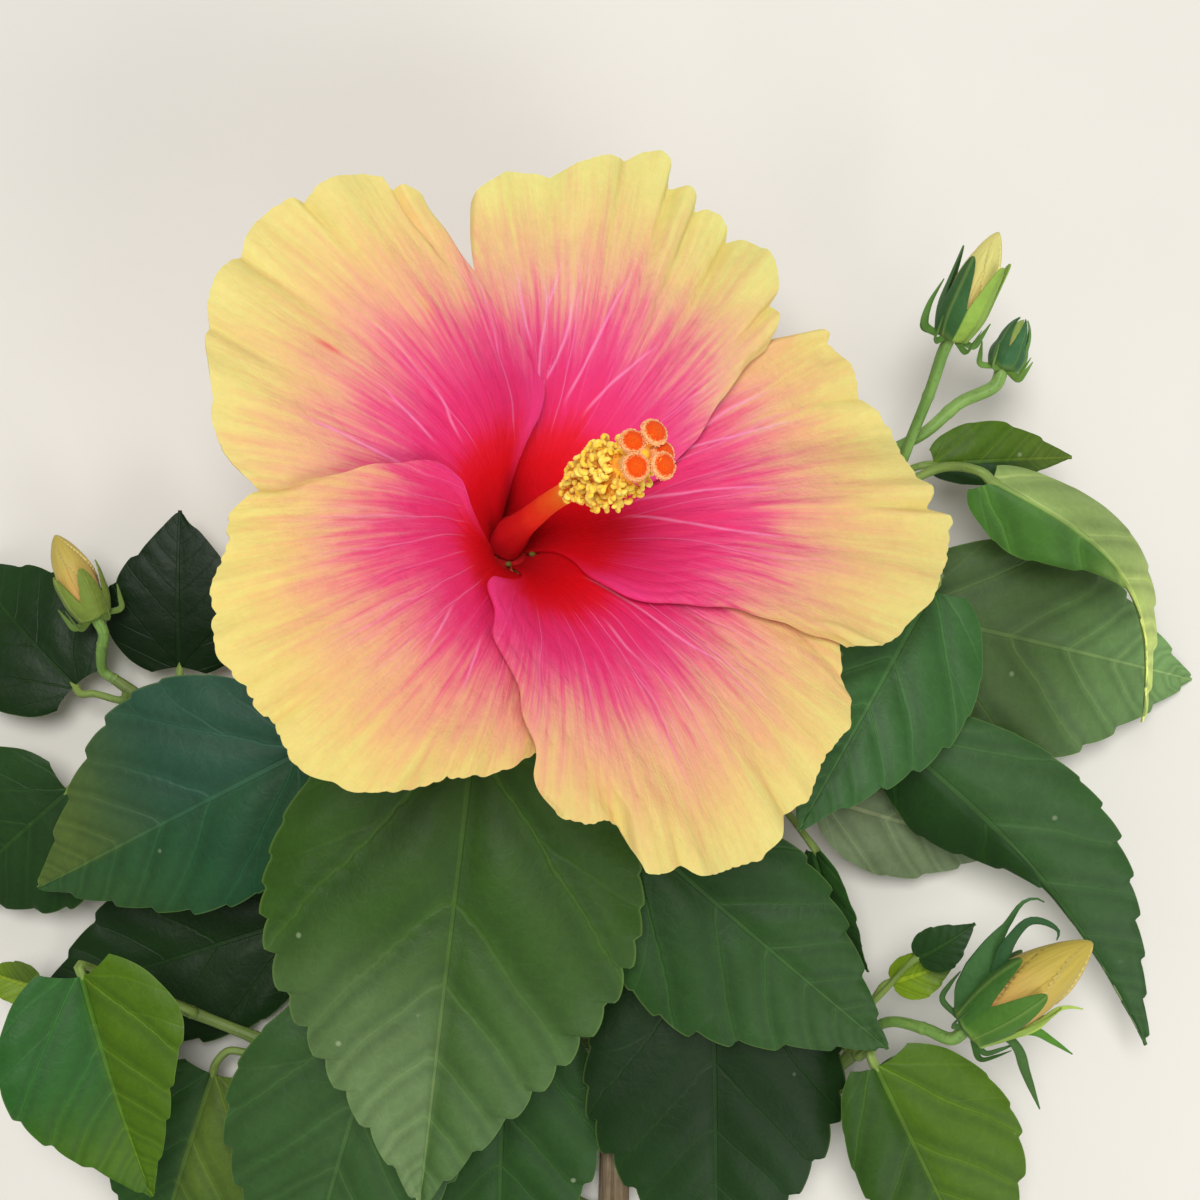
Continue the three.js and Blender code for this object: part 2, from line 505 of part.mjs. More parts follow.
function addPart(name, geometry, colour, roughness = 0.6) {
  geometry.translate(...SHIFT);
  const flatShaded = geometry.toNonIndexed();
  flatShaded.computeVertexNormals();
  const mesh = new THREE.Mesh(flatShaded, new THREE.MeshStandardMaterial({ color: colour, roughness, metalness: 0 }));
  mesh.name = name;
  group.add(mesh);
}

const stems = buildStems();
const frame = bloomFrame();

addPart("main_stem", stems.main_stem.geometry.clone(), COLOUR.bark, 0.85);
for (const name of ["twig_left", "twig_low_left", "twig_low_right"]) {
  addPart(name, stems[name].geometry.clone(), COLOUR.greenStem);
}
addPart("flower_stalk", flowerStalk(frame, stems), COLOUR.greenStem);
addPart("calyx", bloomCalyx(frame), COLOUR.sepal);
for (const petal of PETALS) addPart(petal.name, petalSolid(petal, frame), COLOUR.petal, 0.5);
addPart("column", columnTube(frame, 0.2, COLUMN.antherFrom, [2.3, COLUMN.radius], 8, 7), COLOUR.column, 0.45);
addPart("anthers", antherMass(frame), COLOUR.anther, 0.8);
addPart("stigmas", stigmaSolid(frame), COLOUR.stigma, 0.8);
for (const leaf of LEAVES) {
  addPart(leaf.name, leafSolid(leaf, stems), leaf.name.startsWith("young") ? COLOUR.youngLeaf : COLOUR.leaf, 0.55);
}
for (const [name, bud] of Object.entries(BUDS)) {
  for (const [part, geometry, colour] of budParts(name, bud, stems)) addPart(part, geometry, colour);
}

export default group;
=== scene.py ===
import math

import bpy
import numpy as np
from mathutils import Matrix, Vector


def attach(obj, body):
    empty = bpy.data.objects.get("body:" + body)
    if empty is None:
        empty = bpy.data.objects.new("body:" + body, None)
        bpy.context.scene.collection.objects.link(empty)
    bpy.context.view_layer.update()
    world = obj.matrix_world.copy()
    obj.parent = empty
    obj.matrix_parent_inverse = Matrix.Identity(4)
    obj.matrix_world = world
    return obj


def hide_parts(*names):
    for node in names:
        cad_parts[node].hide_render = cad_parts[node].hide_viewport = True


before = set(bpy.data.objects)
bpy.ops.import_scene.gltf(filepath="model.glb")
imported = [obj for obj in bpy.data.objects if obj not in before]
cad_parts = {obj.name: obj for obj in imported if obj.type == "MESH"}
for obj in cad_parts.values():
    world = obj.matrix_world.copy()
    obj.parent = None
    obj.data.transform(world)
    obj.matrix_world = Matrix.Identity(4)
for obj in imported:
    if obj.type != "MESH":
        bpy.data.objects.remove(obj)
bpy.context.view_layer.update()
print("frame loaded")

# Everything below is drawn in millimetres and moved by this to the part's own place.
drawingShift = np.array([5.0, 60.0, 0.0])
upwards = np.array([0.0, 0.0, 1.0])


# Small helpers for shapes

def smooth(x):
    # A soft step from 0 to 1.
    t = np.clip(x, 0, 1)
    return t * t * (3 - 2 * t)


def hump(x, width):
    # 1 where x is 0, fading away on both sides.
    return np.exp(-(x / width) ** 2)


def between(ends, share):
    return ends[0] + (ends[1] - ends[0]) * share


def unit(v):
    return v / max(np.linalg.norm(v), 1e-9)


def anglesRound(count):
    return np.linspace(0, 2 * np.pi, count, endpoint=False)[None, :]


def sheetGrid(rows, cols):
    # Over a sheet: 0 at its base to 1 at its tip, and -1 to 1 from side to side.
    return np.meshgrid(np.linspace(0, 1, rows + 1), np.linspace(-1, 1, cols + 1), indexing="ij")


def wobble(seed, x, y, rate=1.0, waves=6):
    # Smooth unevenness made of a few crossed waves, about -1 to 1.
    draw = np.random.default_rng(seed)
    total = 0
    for k in range(waves):
        turn, phase = draw.uniform(0, 2 * np.pi, 2)
        across = x * np.cos(turn) + y * np.sin(turn)
        total = total + np.sin(rate * (1 + 0.9 * k) * across + phase) / (1 + 0.6 * k)
    return total / 2.2


def throughPoints(points, count):
    # A rounded line through the points, with evenly spaced places along it.
    pts = [np.array(p, float) for p in points]
    dense = []
    for i in range(len(pts) - 1):
        a, b = pts[i], pts[i + 1]
        before = pts[i - 1] if i else 2 * a - b
        after = pts[i + 2] if i + 2 < len(pts) else 2 * b - a
        d0, d1, d2 = (max(np.linalg.norm(q - p) ** 0.5, 1e-4)
                      for p, q in ((before, a), (a, b), (b, after)))
        leave = ((a - before) / d0 - (b - before) / (d0 + d1) + (b - a) / d1) * d1
        arrive = ((b - a) / d1 - (after - a) / (d1 + d2) + (after - b) / d2) * d1
        t = np.linspace(0, 1, 40)[:, None]
        dense.append((2 * t**3 - 3 * t**2 + 1) * a + (t**3 - 2 * t**2 + t) * leave
                     + (3 * t**2 - 2 * t**3) * b + (t**3 - t**2) * arrive)
    dense = np.concatenate(dense)
    run = np.concatenate([[0], np.cumsum(np.linalg.norm(np.diff(dense, axis=0), axis=1))])
    at = np.linspace(0, run[-1], count)
    return np.stack([np.interp(at, run, dense[:, k]) for k in range(3)], axis=1)


def curveThrough(pairs, count):
    # A rounded curve through pairs of numbers, as its two rows of values.
    return throughPoints([(a, b, 0) for a, b in pairs], count)[:, :2].T


def ringsAlong(path, radii, sides, flat=1.0, swell=1.0):
    # Rings square to the path, carried along it without a twist.
    tangents = np.gradient(path, axis=0)
    tangents /= np.linalg.norm(tangents, axis=1)[:, None]
    first = tangents[0]
    helper = upwards if abs(first[2]) < 0.9 else np.array([1.0, 0, 0])
    normal = unit(helper - first * helper.dot(first))
    normals = []
    for tangent in tangents:
        normal = unit(normal - tangent * normal.dot(tangent))
        normals.append(normal)
    normals = np.array(normals)
    sideways = np.cross(tangents, normals)
    angle = anglesRound(sides)[:, :, None]
    radius = (np.array(radii, float)[:, None] * swell)[:, :, None]
    return (path[:, None] + normals[:, None] * radius * np.cos(angle) * flat
            + sideways[:, None] * radius * np.sin(angle))


# A shape has verts, faces, the number of its finish, and marks that its finish follows: place and
# veins tell where a spot lies on the plant, tone is a colour, and under is 1 on a sheet's lower side.

def shapeOf(verts, faces, finish=0, **marks):
    return {"verts": verts, "faces": faces, "finish": finish, "marks": marks}


def ringPlace(first, second, third, start, end):
    # The place marks of a skin over rings, and those of the two points that close it.
    grids = np.broadcast_arrays(first, second, third)
    return np.concatenate([np.stack([grid.ravel() for grid in grids], axis=1), [start, end]])


def ringShape(rings, finish=0, **marks):
    # A skin over a row of rings, with both ends closed in a point.
    count, sides = rings.shape[:2]
    index = np.arange(count * sides).reshape(count, sides)
    turned = np.roll(index, -1, axis=1)
    quads = np.stack([index[:-1], turned[:-1], turned[1:], index[1:]], axis=-1).reshape(-1, 4)
    verts = np.concatenate([rings.reshape(-1, 3), rings[0].mean(0)[None], rings[-1].mean(0)[None]])
    start, end = count * sides, count * sides + 1
    faces = quads.tolist()
    faces += [[start, turned[0, k], index[0, k]] for k in range(sides)]
    faces += [[end, index[-1, k], turned[-1, k]] for k in range(sides)]
    along = np.linspace(0, 1, count)[:, None]
    around = np.linspace(0, 1, sides, endpoint=False)[None, :]
    marks.setdefault("place", ringPlace(along, around, 0, (0, 0, 0), (1, 0, 0)))
    return shapeOf(verts, faces, finish, **marks)


def sheetShape(mid, thickness, finish=0, **marks):
    # Two skins about a grid of points, with a rim round them.
    rows, cols = mid.shape[:2]
    normal = np.cross(np.gradient(mid, axis=0), np.gradient(mid, axis=1))
    normal /= np.maximum(np.linalg.norm(normal, axis=2), 1e-9)[:, :, None]
    half = normal * np.asarray(thickness) / 2
    verts = np.concatenate([(mid + half).reshape(-1, 3), (mid - half).reshape(-1, 3)])
    up = np.arange(rows * cols).reshape(rows, cols)
    low = up + rows * cols
    quads = [
        (up[:-1, :-1], up[1:, :-1], up[1:, 1:], up[:-1, 1:]),
        (low[:-1, :-1], low[:-1, 1:], low[1:, 1:], low[1:, :-1]),
        (up[1:, 0], up[:-1, 0], low[:-1, 0], low[1:, 0]),
        (up[:-1, -1], up[1:, -1], low[1:, -1], low[:-1, -1]),
        (up[-1, 1:], up[-1, :-1], low[-1, :-1], low[-1, 1:]),
        (up[0, :-1], up[0, 1:], low[0, 1:], low[0, :-1]),
    ]
    faces = np.concatenate([np.stack(q, axis=-1).reshape(-1, 4) for q in quads]).tolist()
    marks = {name: np.tile(np.reshape(mark, (rows * cols, -1)), (2, 1)) for name, mark in marks.items()}
    marks["under"] = np.repeat([0.0, 1.0], rows * cols)[:, None]
    return shapeOf(verts, faces, finish, **marks)


markKinds = {"place": (3, "FLOAT_VECTOR", "vector"), "veins": (3, "FLOAT_VECTOR", "vector"),
             "tone": (4, "FLOAT_COLOR", "color"), "under": (1, "FLOAT", "value")}


def makePiece(node, shapes, skins, sharpAt=50):
    # Joins the shapes into one mesh that stands for the named solid of the frame.
    name = node + "_fine"
    counts = [len(shape["verts"]) for shape in shapes]
    faces, looks, offset = [], [], 0
    for shape, count in zip(shapes, counts):
        faces += [[offset + k for k in face] for face in shape["faces"]]
        looks += [shape["finish"]] * len(shape["faces"])
        offset += count
    mesh = bpy.data.meshes.new(name)
    verts = (np.concatenate([shape["verts"] for shape in shapes]) + drawingShift) / 1000
    mesh.from_pydata(verts.tolist(), [], faces)
    mesh.polygons.foreach_set("material_index", looks)
    for key, (size, kind, field) in markKinds.items():
        marks = [np.reshape(shape["marks"].get(key, [0.0] * size), (-1, size)) for shape in shapes]
        whole = np.concatenate([np.broadcast_to(mark, (count, size)) for mark, count in zip(marks, counts)])
        if whole.any():
            layer = mesh.attributes.new(key, kind, "POINT")
            layer.data.foreach_set(field, whole.astype(np.float32).ravel())
    for skin in skins:
        mesh.materials.append(skin)
    mesh.shade_smooth()
    mesh.set_sharp_from_angle(angle=math.radians(sharpAt))
    piece = bpy.data.objects.new(name, mesh)
    bpy.context.scene.collection.objects.link(piece)
    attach(piece, "root")
    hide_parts(node)


# Small helpers for finishes

def paint(r, g, b):
    # A screen colour of 0 to 255 as Blender's own values.
    return tuple(((c / 255 + 0.055) / 1.055) ** 2.4 for c in (r, g, b)) + (1.0,)


class Value:
    # What a node gives out. Values are added and multiplied like plain numbers, by Math nodes.

    def __init__(self, socket):
        self.socket = socket

    def __add__(self, other):
        return calc("ADD", self, other)

    def __radd__(self, other):
        return calc("ADD", other, self)

    def __sub__(self, other):
        return calc("SUBTRACT", self, other)

    def __rsub__(self, other):
        return calc("SUBTRACT", other, self)

    def __mul__(self, other):
        return calc("MULTIPLY", self, other)

    def __truediv__(self, other):
        return calc("DIVIDE", self, other)


def addNode(tree, kind, feeds=None, **settings):
    node = tree.nodes.new("ShaderNode" + kind)
    for key, value in settings.items():
        setattr(node, key, value)
    for key, value in (feeds or {}).items():
        if isinstance(value, Value):
            tree.links.new(value.socket, node.inputs[key])
        else:
            node.inputs[key].default_value = value
    return node


def treeOf(*values):
    return next(value.socket.id_data for value in values if isinstance(value, Value))


def calc(kind, *values):
    return Value(addNode(treeOf(*values), "Math", dict(enumerate(values)), operation=kind).outputs[0])


def blend(factor, under, over, kind="MIX"):
    feeds = {"Factor": factor, 6: under, 7: over}  # 6 and 7 are the Mix node's two colours
    node = addNode(treeOf(under, over), "Mix", feeds, data_type="RGBA", blend_type=kind)
    return Value(node.outputs[2])


def times(colour, other):
    return blend(1.0, colour, other, "MULTIPLY")


def step(value, low, high):
    # 0 below low and 1 above high, with a soft change between them.
    feeds = {"Value": value, "From Min": low, "From Max": high}
    return Value(addNode(treeOf(value), "MapRange", feeds, interpolation_type="SMOOTHSTEP").outputs[0])


def grain(vector, scale, detail=3.0, roughness=0.55):
    feeds = {"Vector": vector, "Scale": scale, "Detail": detail, "Roughness": roughness}
    return Value(addNode(treeOf(vector), "TexNoise", feeds).outputs["Fac"])


def cells(vector, scale, feature="F1"):
    # How far each spot lies from the middle or the edge of its cell, and the cell's own colour.
    node = addNode(treeOf(vector), "TexVoronoi", {"Vector": vector, "Scale": scale}, feature=feature)
    return [Value(output) for output in node.outputs[:2]]


def ramp(factor, stops):
    node = addNode(treeOf(factor), "ValToRGB", {"Fac": factor})
    band = node.color_ramp
    while len(band.elements) < len(stops):
        band.elements.new(0.5)
    for element, (place, colour) in zip(band.elements, stops):
        element.position = place
        element.color = paint(*colour)
    return Value(node.outputs["Color"])


def parts(value, kind="XYZ"):
    node = addNode(treeOf(value), "Separate" + kind, {0: value})
    return [Value(output) for output in node.outputs[:3]]


def gather(x, y, z):
    return Value(addNode(treeOf(x, y, z), "CombineXYZ", {0: x, 1: y, 2: z}).outputs[0])


def grey(value):
    return gather(value, value, value)


def relief(height, depth, strength=1.0):
    node = addNode(treeOf(height), "Bump", {"Height": height, "Distance": depth, "Strength": strength})
    return Value(node.outputs[0])


class Finish:
    # A material in the making, with the marks on a mesh that its patterns follow.

    def __init__(self, name, **sockets):
        self.material = bpy.data.materials.new(name)
        self.material.use_nodes = True
        self.tree = self.material.node_tree
        self.shader = self.tree.nodes["Principled BSDF"]
        for socket, value in sockets.items():
            self.shader.inputs[socket.replace("_", " ")].default_value = value

    def spot(self):
        return Value(addNode(self.tree, "TexCoord").outputs["Object"])

    def mark(self, name, output="Vector"):
        return Value(addNode(self.tree, "Attribute", attribute_name=name).outputs[output])

    def done(self, colour, bump=None, roughness=None):
        for socket, value in {"Base Color": colour, "Normal": bump, "Roughness": roughness}.items():
            if value is not None:
                self.tree.links.new(value.socket, self.shader.inputs[socket])
        return self.material


# The bloom's finishes

petalPaint = {
    # distance from the bloom's middle as a share of bandReach, and the colour there
    "bands": [(0.04, (176, 8, 18)), (0.09, (203, 9, 24)), (0.15, (218, 7, 24)), (0.2, (222, 18, 45)),
              (0.26, (226, 40, 102)), (0.35, (223, 50, 113)), (0.43, (225, 82, 125)),
              (0.5, (227, 122, 129)), (0.575, (228, 158, 131)), (0.65, (228, 174, 127)),
              (0.73, (228, 190, 124)), (0.82, (227, 205, 126)), (0.95, (226, 212, 131))],
    "bandReach": 80.0,  # mm
    "streaks": 28.8, "patches": 18.0,  # how far streaks and patches pull the colours out or in, mm
    "vein": (246, 140, 186), "veinShow": 0.36, "veinsAcross": 4.2,
    # the vein and its forks: how far apart, how thick, where they begin and are grown, mm, their force
    "forks": [(0.0, 0.07, 13.0, 20.0, 1.0), (0.25, 0.06, 20.0, 46.0, 0.6), (0.12, 0.05, 28.0, 60.0, 0.45)],
    "veinEnds": (36.0, 20.0),  # where the shortest veins end and how much further others go, mm
    # a pink painted highlight lies along the curled-up fold of each overlapping side
    "strong": (250, 160, 204), "strongShow": 0.46, "shoulderHighlight": (240, 66, 140), "shoulderHighlightShow": 0.6,
    "back": (250, 190, 170), "backShow": 0.3,
}


def petalFinish():
    skin = Finish("petal skin", Roughness=0.6, Specular_IOR_Level=0.18, Subsurface_Weight=0.35,
                  Subsurface_Scale=0.0012, Subsurface_Radius=(1.0, 0.35, 0.3))
    away, across, seed = parts(skin.mark("place"))
    streak = grain(gather(away * 0.05, across * 26.0, seed), 1.0, 4.0, 0.6)
    broad = grain(gather(away * 0.045, across * 4.0, seed), 1.0, 2.0)
    calm = step(away, 8.0, 42.0)  # the throat is even, the outer half streaky
    pull = (streak - 0.5) * -petalPaint["streaks"] * calm
    drift = (broad - 0.5) * petalPaint["patches"] * calm
    colour = ramp((away + pull + drift) * (1 / petalPaint["bandReach"]), petalPaint["bands"])

    # thin veins fan out from the throat and fork twice; each has its own strength and length
    sway = grain(gather(away * 0.06, across * 1.6, seed), 1.0, 1.0)
    phase = across * petalPaint["veinsAcross"] + sway * 0.8 + seed
    which = {"W": calc("FLOOR", phase + 0.5)}
    chance = Value(addNode(skin.tree, "TexWhiteNoise", which, noise_dimensions="1D").outputs["Value"])
    strength = step(chance, 0.25, 0.95) * 0.84 + 0.16
    gap = calc("PINGPONG", phase, 0.5)
    vein = 0.0
    for apart, thin, begun, whole, force in petalPaint["forks"]:
        grown = step(away, begun, whole)
        if apart:
            gap = calc("ABSOLUTE", gap - grown * apart)
        vein = calc("MAXIMUM", vein, (1 - step(gap, 0.0, thin)) * grown * force)
    shortest, further = petalPaint["veinEnds"]
    gone = step(away - (chance * further + shortest), -14.0, 6.0)
    vein = vein * strength * (1 - gone) * step(away, 13.0, 20.0)
    colour = blend(vein * petalPaint["veinShow"], colour, paint(*petalPaint["vein"]))
    beside, force, shoulderHighlight = parts(skin.mark("veins"))
    strong = (1 - step(calc("ABSOLUTE", beside), 0.0, 0.5)) * force
    colour = blend(strong * petalPaint["strongShow"], colour, paint(*petalPaint["strong"]))
    # a painted highlight along the curled-up fold of the overlapping side
    colour = blend(shoulderHighlight * petalPaint["shoulderHighlightShow"], colour, paint(*petalPaint["shoulderHighlight"]))
    colour = times(colour, skin.mark("tone", "Color"))

    # crepe-like tissue: short creases run outwards, with a fine crinkle over them
    crepe = grain(gather(away * 0.3, across * 34.0, seed), 1.0, 3.0, 0.6)
    rumple = grain(gather(away * 0.26, across * 10.0, seed + 5.0), 1.0)
    rumple = rumple * step(away, 18.0, 34.0) * (1 - step(away, 46.0, 64.0) * 0.7)
    crinkle = grain(skin.spot(), 700.0, 3.0, 0.6)
    # the colour darkens where the crepe and crinkle dip: painted shade in their hollows
    colour = times(colour, grey(crinkle * 0.12 + crepe * 0.1 + 0.89))
    under = skin.mark("under", "Fac") * petalPaint["backShow"] * step(away, 26.0, 60.0)
    colour = blend(under, colour, paint(*petalPaint["back"]))
    height = streak * 0.3 + crepe * 0.35 - vein * 0.25 + crinkle * 0.28 + rumple * 1.5 - strong * 0.2
    return skin.done(colour, relief(height, 0.0006, 0.7))


columnPaint = {"bands": [(0.02, (206, 20, 32)), (0.14, (224, 26, 36)), (0.34, (240, 44, 42)),
                         (0.56, (250, 76, 42)), (0.78, (255, 122, 42)), (0.95, (255, 172, 52))],
               "patches": 0.16}  # how far patches pull the colours along the column, as a share of it


def columnFinish():
    skin = Finish("column skin", Roughness=0.42, Specular_IOR_Level=0.4, Subsurface_Weight=0.4,
                  Subsurface_Scale=0.0015, Subsurface_Radius=(1.0, 0.3, 0.15))
    along = parts(skin.mark("place"))[0]
    patch = grain(skin.spot(), 260.0)
    colour = ramp(along + (patch - 0.5) * columnPaint["patches"], columnPaint["bands"])
    return skin.done(colour, relief(patch, 0.0004, 0.4))


pollenPaint = {"anther dust": {"light": (255, 242, 122), "deep": (255, 208, 46), "grains": 1500.0},
               "filament": {"light": (255, 214, 64), "deep": (255, 172, 36), "grains": 600.0}}


def pollenFinish(name):
    # A grainy dusting, lighter or deeper from grain to grain.
    skin = Finish(name, Roughness=0.8, Specular_IOR_Level=0.2, Sheen_Weight=0.2)
    look = pollenPaint[name]
    spot = skin.spot()
    dust = cells(spot, look["grains"])[0]
    mix = grain(spot, 300.0, 2.0) * 1.1 + dust * 0.35
    colour = ramp(mix - 0.2, [(0.15, look["light"]), (0.75, look["deep"])])
    return skin.done(colour, relief(dust, 0.0003, 0.4))


stigmaPaint = {"bands": [(0.0, (244, 96, 18)), (0.72, (236, 76, 16)), (0.84, (252, 146, 78)),
                         (0.92, (255, 188, 128))], "fluff": 0.25}  # how ragged the bands' edges are


def stigmaFinish():
    # place holds how far a spot is from the middle of its pad
    skin = Finish("stigma velvet", Roughness=1.0, Specular_IOR_Level=0.06, Sheen_Weight=0.08)
    away = parts(skin.mark("place"))[0]
    fluff = cells(skin.spot(), 2600.0)[0]
    colour = ramp(away + (fluff - 0.4) * stigmaPaint["fluff"], stigmaPaint["bands"])
    return skin.done(colour, relief(fluff, 0.0003, 0.8))


# Finishes of the green parts

leafPaint = {
    "veinGain": (2.2, 1.8, 1.9, 1.0),  # a vein's colour against the blade's
    "veinShow": 0.5, "netShow": 0.07,
    "groove": (22, 44, 18), "grooveShadeShow": 0.2,  # painted shade where the tissue dips beside a vein
    "rim": (128, 156, 72), "rimShow": 0.25,
    "dust": (176, 190, 150), "dustShow": 0.4,
    "under": (138, 162, 112), "underShow": 0.5,
}


def leafFinish():
    skin = Finish("leaf skin", Specular_IOR_Level=0.22)
    spot = skin.spot()
    along, out = parts(skin.mark("place"))[:2]
    phase, branch, off = parts(skin.mark("veins"))
    drift = (grain(spot, 70.0, 2.0) - 0.5) * 0.22
    near = calc("PINGPONG", phase + drift, 0.5)
    line = 1 - step(near, 0.008, 0.045)
    outer = step(phase * -1.0, 0.02, 0.1)
    twig = (1 - step(calc("PINGPONG", branch + drift * 1.5, 0.5), 0.01, 0.06)) * outer
    side = calc("MAXIMUM", line, twig * 0.6) * (1 - out * 0.65)
    rib = 1 - step(off / (0.62 - along * 0.42), 0.7, 1.3)
    first = 1 - step(phase, 0.4, 0.6)  # the pair from the leaf's base is the boldest
    bold = first * 0.5 + 0.6 - step(along, 0.45, 0.9) * 0.25
    vein = calc("MAXIMUM", side * bold, rib)
    mesh = 1 - step(cells(spot, 330.0, "DISTANCE_TO_EDGE")[0], 0.0, 0.09)

    patch = grain(spot, 45.0)
    fine = grain(spot, 600.0, 3.0, 0.6)
    blotch = grain(spot, 170.0, 3.0, 0.65)
    lift = patch * 0.4 + fine * 0.24 + blotch * 0.32 + 0.52
    colour = times(skin.mark("tone", "Color"), grey(lift))
    colour = blend(skin.mark("under", "Fac") * leafPaint["underShow"], colour, paint(*leafPaint["under"]))
    pale = calc("MAXIMUM", vein * leafPaint["veinShow"], mesh * leafPaint["netShow"])
    colour = blend(pale, colour, times(colour, leafPaint["veinGain"]))
    # painted shade in the dip beside each vein
    beside = step(near, 0.05, 0.16) * (1 - step(near, 0.16, 0.4))
    colour = blend(beside * leafPaint["grooveShadeShow"], colour, paint(*leafPaint["groove"]))
    colour = blend(step(out, 0.982, 1.0) * leafPaint["rimShow"], colour, paint(*leafPaint["rim"]))
    away, hue = cells(spot, 130.0)
    few = step(parts(hue, "Color")[0], 0.82, 0.9)  # only some cells hold a speck of dust
    dots = (1 - step(away, 0.03, 0.1)) * few
    colour = blend(dots * leafPaint["dustShow"], colour, paint(*leafPaint["dust"]))
    height = fine * 0.3 + blotch * 0.8 - vein * 0.6 - mesh * 0.045
    return skin.done(colour, relief(height, 0.0005, 0.5), patch * 0.16 + 0.42)


greenPaint = {
    "leaf stalk": {"light": (146, 168, 84), "deep": (96, 124, 52), "freckle": (96, 120, 60)},
    "green twig": {"light": (128, 150, 74), "deep": (86, 108, 48), "freckle": (150, 148, 108)},
    "bud stalk": {"light": (136, 172, 84), "deep": (88, 130, 52), "freckle": (96, 120, 60)},
}


def greenFinish(name):
    # Tender stalks: streaks along them, and small paler or darker freckles.
    skin = Finish(name, Roughness=0.5, Specular_IOR_Level=0.4)
    look = greenPaint[name]
    along, around = parts(skin.mark("place"))[:2]
    spot = skin.spot()
    streak = grain(gather(along * 5.0, around * 18.0, 0.0), 1.0)
    mix = (streak + grain(spot, 120.0)) * 0.5
    dots = (1 - step(cells(spot, 700.0)[0], 0.12, 0.3)) * 0.35
    colour = blend(dots, ramp(mix, [(0.3, look["deep"]), (0.7, look["light"])]), paint(*look["freckle"]))
    return skin.done(colour, relief(streak + dots, 0.0004, 0.5))


barkPaint = {
    "wood": [(0.28, (74, 60, 44)), (0.5, (124, 106, 82)), (0.72, (166, 150, 122))],
    "young": [(0.3, (96, 124, 54)), (0.7, (140, 164, 84))],
    "pore": (186, 172, 146), "poreShow": 0.5,
    # from the middle of the cut face to its rim: pith, wood, the green layer and the bark
    "cut": [(0.0, (176, 158, 116)), (0.2, (168, 146, 104)), (0.3, (214, 200, 156)),
            (0.8, (206, 190, 144)), (0.9, (120, 136, 74)), (1.0, (98, 82, 60))],
}


def barkFinish():
    # Grey-brown at the cut end, turning green towards the tip.
    skin = Finish("bark", Roughness=0.82, Specular_IOR_Level=0.25)
    along, around = parts(skin.mark("place"))[:2]
    spot = skin.spot()
    ridge = grain(gather(along * 26.0, around * 22.0, 0.0), 1.0, 5.0, 0.65)
    patch = grain(spot, 90.0)
    young = step(along + patch * 0.3, 0.5, 0.85)
    colour = blend(young, ramp((ridge + patch) * 0.5, barkPaint["wood"]), ramp(patch, barkPaint["young"]))
    pores = 1 - step(cells(spot, 420.0)[0], 0.1, 0.24)
    colour = blend(pores * barkPaint["poreShow"], colour, paint(*barkPaint["pore"]))
    return skin.done(colour, relief(ridge + pores, 0.0007, 0.8))


def cutWoodFinish():
    skin = Finish("cut wood", Roughness=0.8)
    away = parts(skin.mark("place"))[0]
    patch = grain(skin.spot(), 500.0, 4.0)
    colour = ramp(away + (patch - 0.5) * 0.2, barkPaint["cut"])
    return skin.done(colour, relief(patch, 0.0004, 0.6))


sepalPaint = {"rib": (168, 190, 98), "ribShow": 0.2}


def sepalFinish():
    # Ribbed green in the piece's own tone, paler along the ribs.
    skin = Finish("sepal skin", Roughness=0.6, Specular_IOR_Level=0.2, Sheen_Weight=0.04)
    around = parts(skin.mark("place"))[1]
    spot = skin.spot()
    fine = grain(spot, 900.0)
    lift = grain(spot, 220.0) * 0.46 + fine * 0.22 + 0.66
    rib = 1 - step(calc("PINGPONG", around, 0.5), 0.0, 0.1)
    colour = times(skin.mark("tone", "Color"), grey(lift))
    colour = blend(rib * sepalPaint["ribShow"], colour, paint(*sepalPaint["rib"]))
    return skin.done(colour, relief(fine + rib, 0.0004, 0.5))


budPaint = {"blush": (226, 150, 96), "edge": (250, 236, 170), "edgeShow": 0.45}


def budPetalFinish():
    # place holds the height, the turn within one furled petal, and the angle
    skin = Finish("bud petal skin", Roughness=0.55, Specular_IOR_Level=0.35, Sheen_Weight=0.1)
    along, within, around = parts(skin.mark("place"))
    streak = grain(gather(along * 3.0, around * 9.0, 0.0), 1.0, 4.0, 0.6)
    blush = (1 - step(along, 0.1, 0.75)) * streak
    colour = blend(blush, skin.mark("tone", "Color"), paint(*budPaint["blush"]))
    colour = times(colour, grey(streak * 0.4 + 0.78))
    edge = 1 - step(within, 0.0, 0.14)
    colour = blend(edge * budPaint["edgeShow"], colour, paint(*budPaint["edge"]))
    return skin.done(colour, relief(streak, 0.0004, 0.5))


finishes = {
    "petal": petalFinish(),
    "column": columnFinish(),
    "anther": pollenFinish("anther dust"),
    "filament": pollenFinish("filament"),
    "stigma": stigmaFinish(),
    "leaf": leafFinish(),
    "stalk": greenFinish("leaf stalk"),
    "twig": greenFinish("green twig"),
    "budStalk": greenFinish("bud stalk"),
    "bark": barkFinish(),
    "cutWood": cutWoodFinish(),
    "sepal": sepalFinish(),
    "budPetal": budPetalFinish(),
}
print("finishes mixed:", len(finishes))


# The stems

